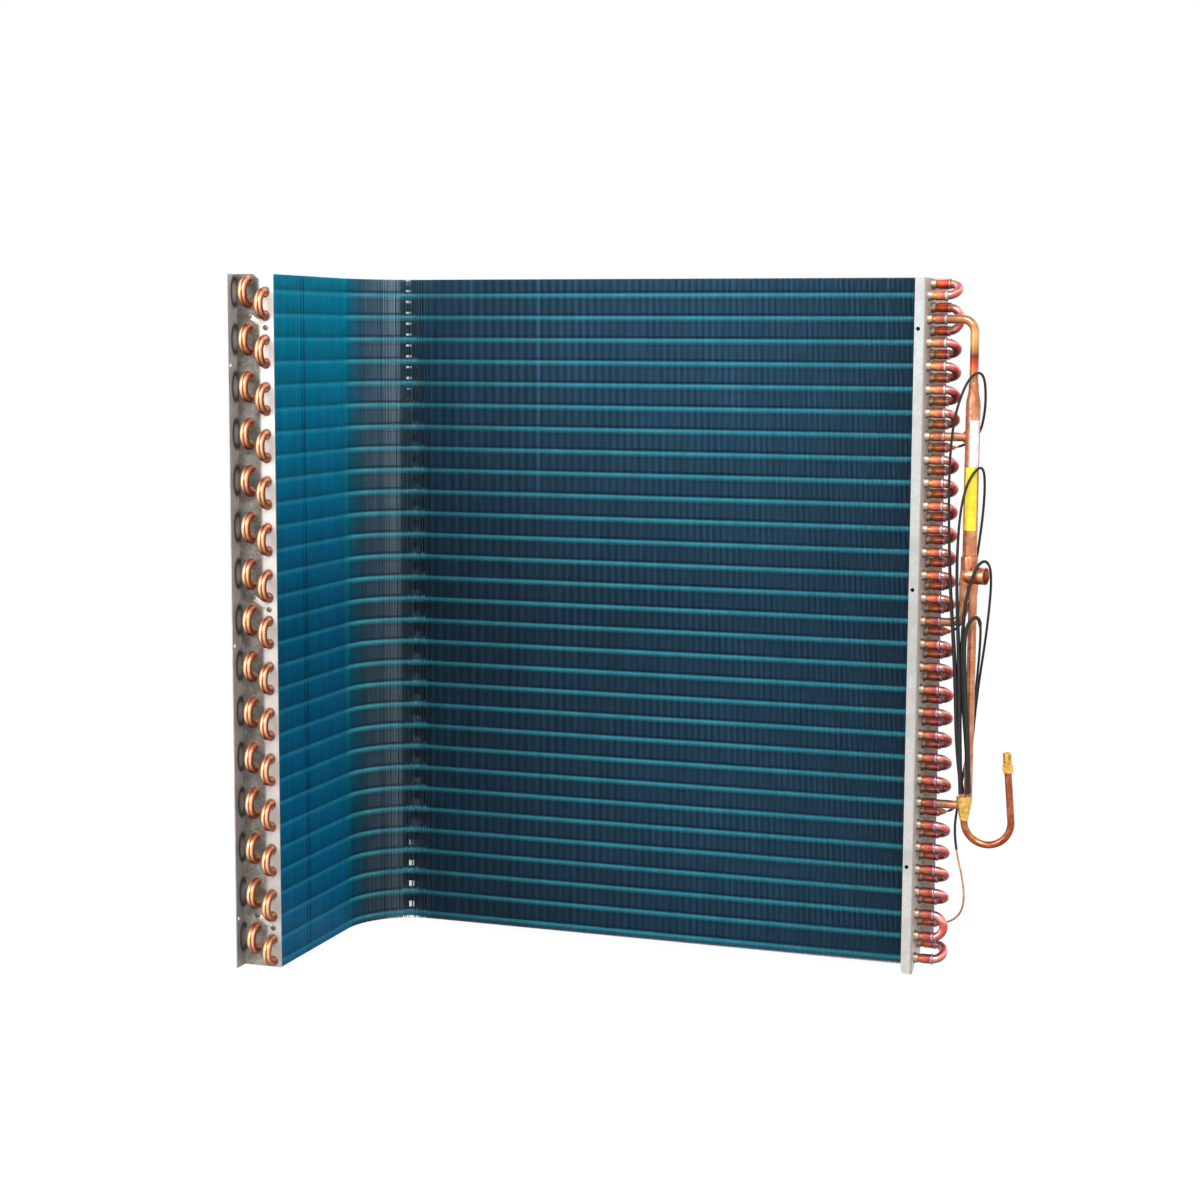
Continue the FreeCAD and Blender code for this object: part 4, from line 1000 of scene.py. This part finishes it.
def distributor(finish):
    nose, cone = liquid["noseRise"], liquid["noseRise"] + liquid["coneRise"]
    top = cone + liquid["headRise"]
    radius, head = liquid["noseRadius"], liquid["headRadius"]
    profile = [(liquid["pipe"] - 0.0002, 0), (radius - 0.0003, 0.0001), (radius, 0.0005), (radius, nose),
               (radius + 0.0009, nose + 0.003), (head - 0.0012, cone - 0.0025), (head, cone), (head, top - 0.0006),
               (head - 0.0006, top), (0.002, top)]
    dress("turned", "distributor", [turned(profile, noseFoot, outUp, 32)], finish)


def liquidEnd():
    lean = math.radians(liquid["lean"])
    out = np.array([math.cos(lean), 0, math.sin(lean)])
    upward = np.array([-math.sin(lean), 0, math.cos(lean)])
    return noseFoot + outRight * liquid["bend"] + out * liquid["bend"] + upward * liquid["rise"], upward


def liquidPipe(finish):
    # down out of the nose, round a little more than half a circle and up to the fitting
    turn = np.linspace(math.pi, 2 * math.pi + math.radians(liquid["lean"]), 33)[:, None]
    arc = noseFoot + ((1 + np.cos(turn)) * outRight + np.sin(turn) * outUp) * liquid["bend"]
    end, upward = liquidEnd()
    path = np.concatenate([[noseFoot + outUp * 0.002], arc, [end + upward * 0.001]])
    dress("round", "liquid_pipe", [carried(path, liquid["pipe"], 24)], finish)


def liquidFitting(finish):
    end, upward = liquidEnd()
    corner, rise, bevel = liquid["hexRadius"], liquid["hexRise"], 0.0007
    hexagon = turned([(corner * 0.9, 0), (corner, bevel), (corner, rise - bevel), (corner * 0.9, rise)], end, upward, 6)
    # thread: radius + crest height * cosine of (turns along the axis - turn about it)
    ring, rows, crest = 40, 66, liquid["threadDepth"]
    along = np.linspace(0, 1, rows)
    turn = 2 * np.pi * np.arange(ring) / ring
    wave = np.cos(2 * np.pi * along[:, None] * liquid["threadRise"] / liquid["threadStep"] - turn)
    taper = np.clip(np.minimum(along, 1 - along) * 12, 0, 1)[:, None]
    radius = liquid["threadRadius"] - crest + crest * wave * taper
    side = unit(np.cross(upward, [0.0, 1.0, 0.0]))
    circle = circleOf(side, np.cross(upward, side), ring)
    foot = end + upward * rise
    thread = foot + along[:, None, None] * liquid["threadRise"] * upward + radius[..., None] * circle
    bore = turned([(liquid["bore"], liquid["threadRise"] - 0.0001), (liquid["bore"], 0.002)], foot, upward, ring)
    dress("threaded", "liquid_fitting", [hexagon, np.concatenate([thread, bore])], finish)


# Capillaries: points that the tubes swing past, in mm from the gas header's axis and the fins' foot

capillaries = {
    "radius": 0.0011,
    "sleeve": ([0.32, 0.50], [0.0025, 0.0014]),  # heights and the sleeve's radius there
    "stem": 0.006,
    "seat": 0.004,
    "bareEnd": 0.003,
    "adaptor": 0.009,
    # a short barrel over the tube end, then a swaged taper to the capillary
    "adaptorProfile": [(0.0049, -0.001), (0.0051, 0.0015), (0.0047, 0.003), (0.0034, 0.0055), (0.0024, 0.0075),
                       (0.0022, 0.009), (0.0013, 0.0094)],
    "ends": {1: 8, 2: 16, 3: 24, 4: 29},
    "holes": {1: 135, 2: 225, 3: 45, 4: 315},
    "bareBelow": 0.127,  # height at which the fourth one leaves its sleeve
    "swings": {
        1: [(-6.3, -15, 245), (-9.3, -16, 330), (-20, -14, 450), (-23.3, -13, 590), (-7.3, -12, 652),
            (12.2, -8, 665), (12.9, 9, 622), (2.7, 18.5, 584)],
        2: [(-2.8, -19, 245), (-4.8, -17, 330), (-12.5, -14.5, 450), (-7.3, -15, 535), (14, -8, 567),
            (14.5, 7, 525), (4.7, 16.5, 450), (-6.3, 19, 380)],
        3: [(5.2, -15, 245), (-2.3, -15.5, 320), (-3.3, -16.5, 400), (7.7, -16, 448), (18.5, -7, 460),
            (24, 9, 443), (19.5, 11, 380), (9, 16, 305), (3.7, 17.5, 230), (-6.3, 19, 176)],
        4: [(7.7, -20.5, 245), (0.7, -21, 330), (-0.3, -21, 388), (16.7, -16, 401), (13.2, 4, 352),
            (3.7, 15, 262), (-7.3, 11, 190), (-12.8, 11, 145), (3.7, 12, 80), (-6.3, 19, 48)],
    },
}


def swung(points, steps=10):
    # from the middle of each run to the middle of the next, drawn towards the point between them
    points = np.asarray(points, float)
    middles = (points[:-1] + points[1:]) / 2
    middles[0], middles[-1] = points[0], points[-1]
    share = (np.arange(steps) / steps)[None, :, None]
    pull = points[1:-1, None]
    curve = (1 - share) ** 2 * middles[:-1, None] + 2 * share * (1 - share) * pull + share ** 2 * middles[1:, None]
    return np.concatenate([curve.reshape(-1, 3), points[-1:]])


def capillary(circuit, bare, black):
    turn = math.radians(capillaries["holes"][circuit])
    mouth = mouthPlace + liquid["holeCircle"] * np.array([math.cos(turn), math.sin(turn), 0])
    axis = inRow(gas["headerX"], 0)
    swings = [axis + np.array(point) / 1000 for point in capillaries["swings"][circuit]]
    entry = rightEnd("far", capillaries["ends"][circuit]) + outRight * capillaries["adaptor"]
    curve = swung([mouth + outUp * capillaries["stem"]] + swings + [entry])
    path = np.concatenate([[mouth - outUp * capillaries["seat"], mouth], curve])
    dress("round", f"capillary_{circuit}", [carried(path, capillaries["radius"], 8)], bare)
    cover = np.concatenate([[mouth + outUp * capillaries["bareEnd"]], curve])
    if circuit == 4:
        late = np.arange(len(cover)) > len(cover) // 2
        cover = cover[~(late & (cover[:, 2] < home[2] + capillaries["bareBelow"]))]
    else:
        cover = cover[np.linalg.norm(cover - entry, axis=1) > capillaries["bareEnd"]]
    # only the run out of the distributor is thick, so the far end keeps the thin radius
    radius = np.interp(cover[:, 2] - home[2], *capillaries["sleeve"])
    radius[len(cover) // 2:] = capillaries["sleeve"][1][-1]
    dress("round", f"capillary_sleeve_{circuit}", [carried(cover, radius, 12)], black)


def adaptors(finish):
    ends = [rightEnd("far", number) for number in capillaries["ends"].values()]
    grids = [turned(capillaries["adaptorProfile"], end, outRight, 18) for end in ends]
    makePiece("swaged_adaptors", grids, finish, node="capillary_adaptors")


# Labels, straps and rivets

labels = {
    "gap": 0.00005,
    "wall": 0.00025,
    "yellow": {"foot": 0.0285, "height": 0.0685, "turn": 277, "wrap": 97},
    "white": {"foot": 0.097, "height": 0.051, "turn": 298, "wrap": 75},
}


def label(colour, finish):
    # strip of an upright cylinder, closed round its four edges
    strip = labels[colour]
    turn = np.radians(strip["turn"] + strip["wrap"] * np.linspace(-0.5, 0.5, 15))
    inner = gas["headerRadius"] + labels["gap"]
    loop = np.repeat([inner + labels["wall"], inner], 15)
    angle = np.concatenate([turn, turn[::-1]])
    heights = gas["headerFoot"] + strip["foot"] + np.linspace(0, strip["height"], 5)
    ring = inRow(gas["headerX"], 0) + np.stack([loop * np.cos(angle), loop * np.sin(angle), np.zeros(30)], -1)
    grid = ring[None] + heights[:, None, None] * outUp
    dress("curved", f"{colour}_label", [grid], finish, 40)


straps = {
    "tubes": (2, 14, 28),
    "width": 0.005,
    "wall": 0.0008,
    "inset": 0.001,
    "tip": 1.1,  # how far the ends reach past the rivets, in half widths
    "edge": 0.8,  # share of the wall at which the edge starts to round
    "top": 0.97,  # size of the rounded top against the outline
    "rivet": 0.0032,
    "rivetRise": 0.0014,
    # the rivets' dome and its dimple: shares of the radius and of the rise
    "dome": [(0.9, 0), (0.9, 0.45), (0.7, 0.8), (0.35, 1), (0.3, 0.5), (0.1, 0.45)],
}


def tieStraps(finish, dark):
    # strap outline: two half circles joined by straight sides, raised in three rings
    strips, rivets = [], []
    wall = outFront * straps["wall"]
    turn = np.linspace(-np.pi / 2, np.pi / 2, 9)[:, None]
    dome = np.array(straps["dome"]) * [straps["rivet"], straps["rivetRise"]]
    for number in straps["tubes"]:
        tail, tip = (leftEnd(row, number + 0.5) + outRight * straps["inset"] for row in ("far", "near"))
        along = unit(tip - tail)
        across = np.cross(outFront, along)
        arc = straps["width"] / 2 * straps["tip"] * (along * np.cos(turn) + across * np.sin(turn))
        ring = np.concatenate([tip + arc, tail - arc])
        middle = ring.mean(0)
        raised = (ring - middle) * straps["top"] + middle + wall
        strips.append(np.stack([ring, ring + wall * straps["edge"], raised]))
        rivets += [turned(dome, end + wall, outFront, 18) for end in (tail, tip)]
    dress("rounded", "tie_straps", strips, finish)
    dress("domed", "strap_rivets", rivets, dark)


# Everything together

def buildCoil():
    coating = finCoating()
    longLegFins(coating)
    cornerFins(coating)
    shortLegFins(coating)
    tubeRuns(plainFinish("CoatedCollars"))
    print("fins done")
    hairpinCopper = copper("HairpinCopper")
    for row in rowDepths:
        hairpins(row, hairpinCopper)
    for row in rowDepths:
        belledTubes(row, copper(f"TubeEndCopper{row.title()}"))
    brazed = copper("BrazedCopper")
    for circuit in circuits:
        returnBends(circuit, brazed)
    sheetCollars("right", copper("CollarHighlight"))
    sheetCollars("left", plainFinish("CollarShade"))
    print("tubes done")
    gasPipe(1, gas["headerX"], neckTop - 0.004, copper("HeatedGasPipe"))
    dusky = copper("DuskyGasPipe")
    gasPipe(3, gas["branchX"], collarFoot - gas["teeTaper"] + 0.002, dusky)
    gasPipe(4, gas["farPipeX"], bellFoot + 0.003, dusky)
    pipeCopper = copper("PipeCopper")
    gasHeader(pipeCopper)
    gasBranch(copper("BranchCopper"))
    gasTee(copper("TeeCopper"))
    brass = plainFinish("TurnedBrass")
    distributor(brass)
    liquidPipe(copper("LiquidPipeCopper"))
    liquidFitting(brass)
    sleeve = plainFinish("BlackSleeve")
    for circuit in circuits:
        capillary(circuit, pipeCopper, sleeve)
    adaptors(copper("AdaptorCopper"))
    label("white", plainFinish("WhiteFilm"))
    label("yellow", plainFinish("YellowFilm"))
    tieStraps(galvanised("StrapZinc"), plainFinish("RivetSteel"))
    print("pipework done")
    for name, zinc in (("tube_sheet_right", rightSheetZinc()), ("tube_sheet_left", leftSheetZinc())):
        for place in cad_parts[name].material_slots:
            place.material = zinc
    print("sheets done")


# Camera, floor and light

camera = {
    "place": (0.7441, -2.2763, 0.7042),
    "yaw": -0.3303,
    "pitch": 0.1181,
    "roll": 0.0047,
    "lens": 66.17,
}
studio = {
    "floorSize": 12,
    "floorColour": (0.9, 0.9, 0.9, 1.0),
    "floorGlow": 0.93,  # share of the glow in the floor, and its strength
    "glowStrength": 1.04,
    "worldLight": 0.62,
    "aim": (0.0, 0.0, 0.35),
    "lamps": {  # place, size and power
        "KeyLamp": ((0.9, -3.2, 2.9), 1.3, 105),
        "FillLamp": ((-1.9, -3.0, 1.6), 1.3, 40),
        "BackLamp": ((-0.5, 3.0, 2.8), 2.0, 34),
    },
}


def stand(thing, place, right, up, back):
    matrix = np.eye(4)
    matrix[:3, :3] = np.stack([right, up, back], -1)
    matrix[:3, 3] = place
    thing.matrix_world = Matrix(matrix.tolist())


def addCamera():
    yaw, pitch, roll = camera["yaw"], camera["pitch"], camera["roll"]
    forward = np.array([math.sin(yaw) * math.cos(pitch), math.cos(yaw) * math.cos(pitch), -math.sin(pitch)])
    right = np.array([math.cos(yaw), -math.sin(yaw), 0])
    up = np.cross(right, forward)
    data = bpy.data.cameras.new("Camera")
    data.lens = camera["lens"]
    data.sensor_width = 36
    data.clip_end = 50
    eye = addObject("Camera", data)
    stand(eye, camera["place"], right * math.cos(roll) + up * math.sin(roll),
          up * math.cos(roll) - right * math.sin(roll), -forward)
    bpy.context.scene.camera = eye


def seenDirectly(finish):
    # 1 for camera, glossy and transmission rays
    path = addNode(finish, "ShaderNodeLightPath").outputs
    first = reckon(finish, "ADD", path["Is Camera Ray"], path["Is Glossy Ray"])
    return reckon(finish, "MINIMUM", reckon(finish, "ADD", first, path["Is Transmission Ray"]), 1.0)


def addFloor():
    half = studio["floorSize"] / 2
    mesh = bpy.data.meshes.new("Floor")
    mesh.from_pydata([(-half, -half, 0), (half, -half, 0), (half, half, 0), (-half, half, 0)], [], [(0, 1, 2, 3)])
    finish = paint(newFinish("FloorWhite", Roughness=0.9), studio["floorColour"])
    glow = addNode(finish, "ShaderNodeEmission", {"Color": (1, 1, 1, 1), "Strength": studio["glowStrength"]})
    share = reckon(finish, "MULTIPLY", seenDirectly(finish), studio["floorGlow"])
    mixed = addNode(finish, "ShaderNodeMixShader", {"Fac": share})
    fill(finish, mixed.inputs[1], shaderOf(finish).outputs[0])
    fill(finish, mixed.inputs[2], glow.outputs[0])
    fill(finish, finish.node_tree.nodes["Material Output"].inputs["Surface"], mixed.outputs[0])
    mesh.materials.append(finish)
    addObject("Floor", mesh)


def addLight():
    world = bpy.data.worlds.new("Studio")
    world.use_nodes = True
    background = world.node_tree.nodes["Background"]
    background.inputs["Color"].default_value = (1, 1, 1, 1)
    level = studio["worldLight"]
    fill(world, background.inputs["Strength"], reckon(world, "MULTIPLY_ADD", seenDirectly(world), 1 - level, level))
    bpy.context.scene.world = world
    for name, (place, size, power) in studio["lamps"].items():
        data = bpy.data.lights.new(name, "AREA")
        data.size = size
        data.energy = power
        back = unit(np.array(place) - studio["aim"])
        side = unit(np.cross([0, 0, 1], back))
        stand(addObject(name, data), place, side, np.cross(back, side), back)


buildCoil()
addCamera()
addFloor()
addLight()
bpy.context.scene.view_settings.view_transform = "Standard"
print("camera, floor and light done")
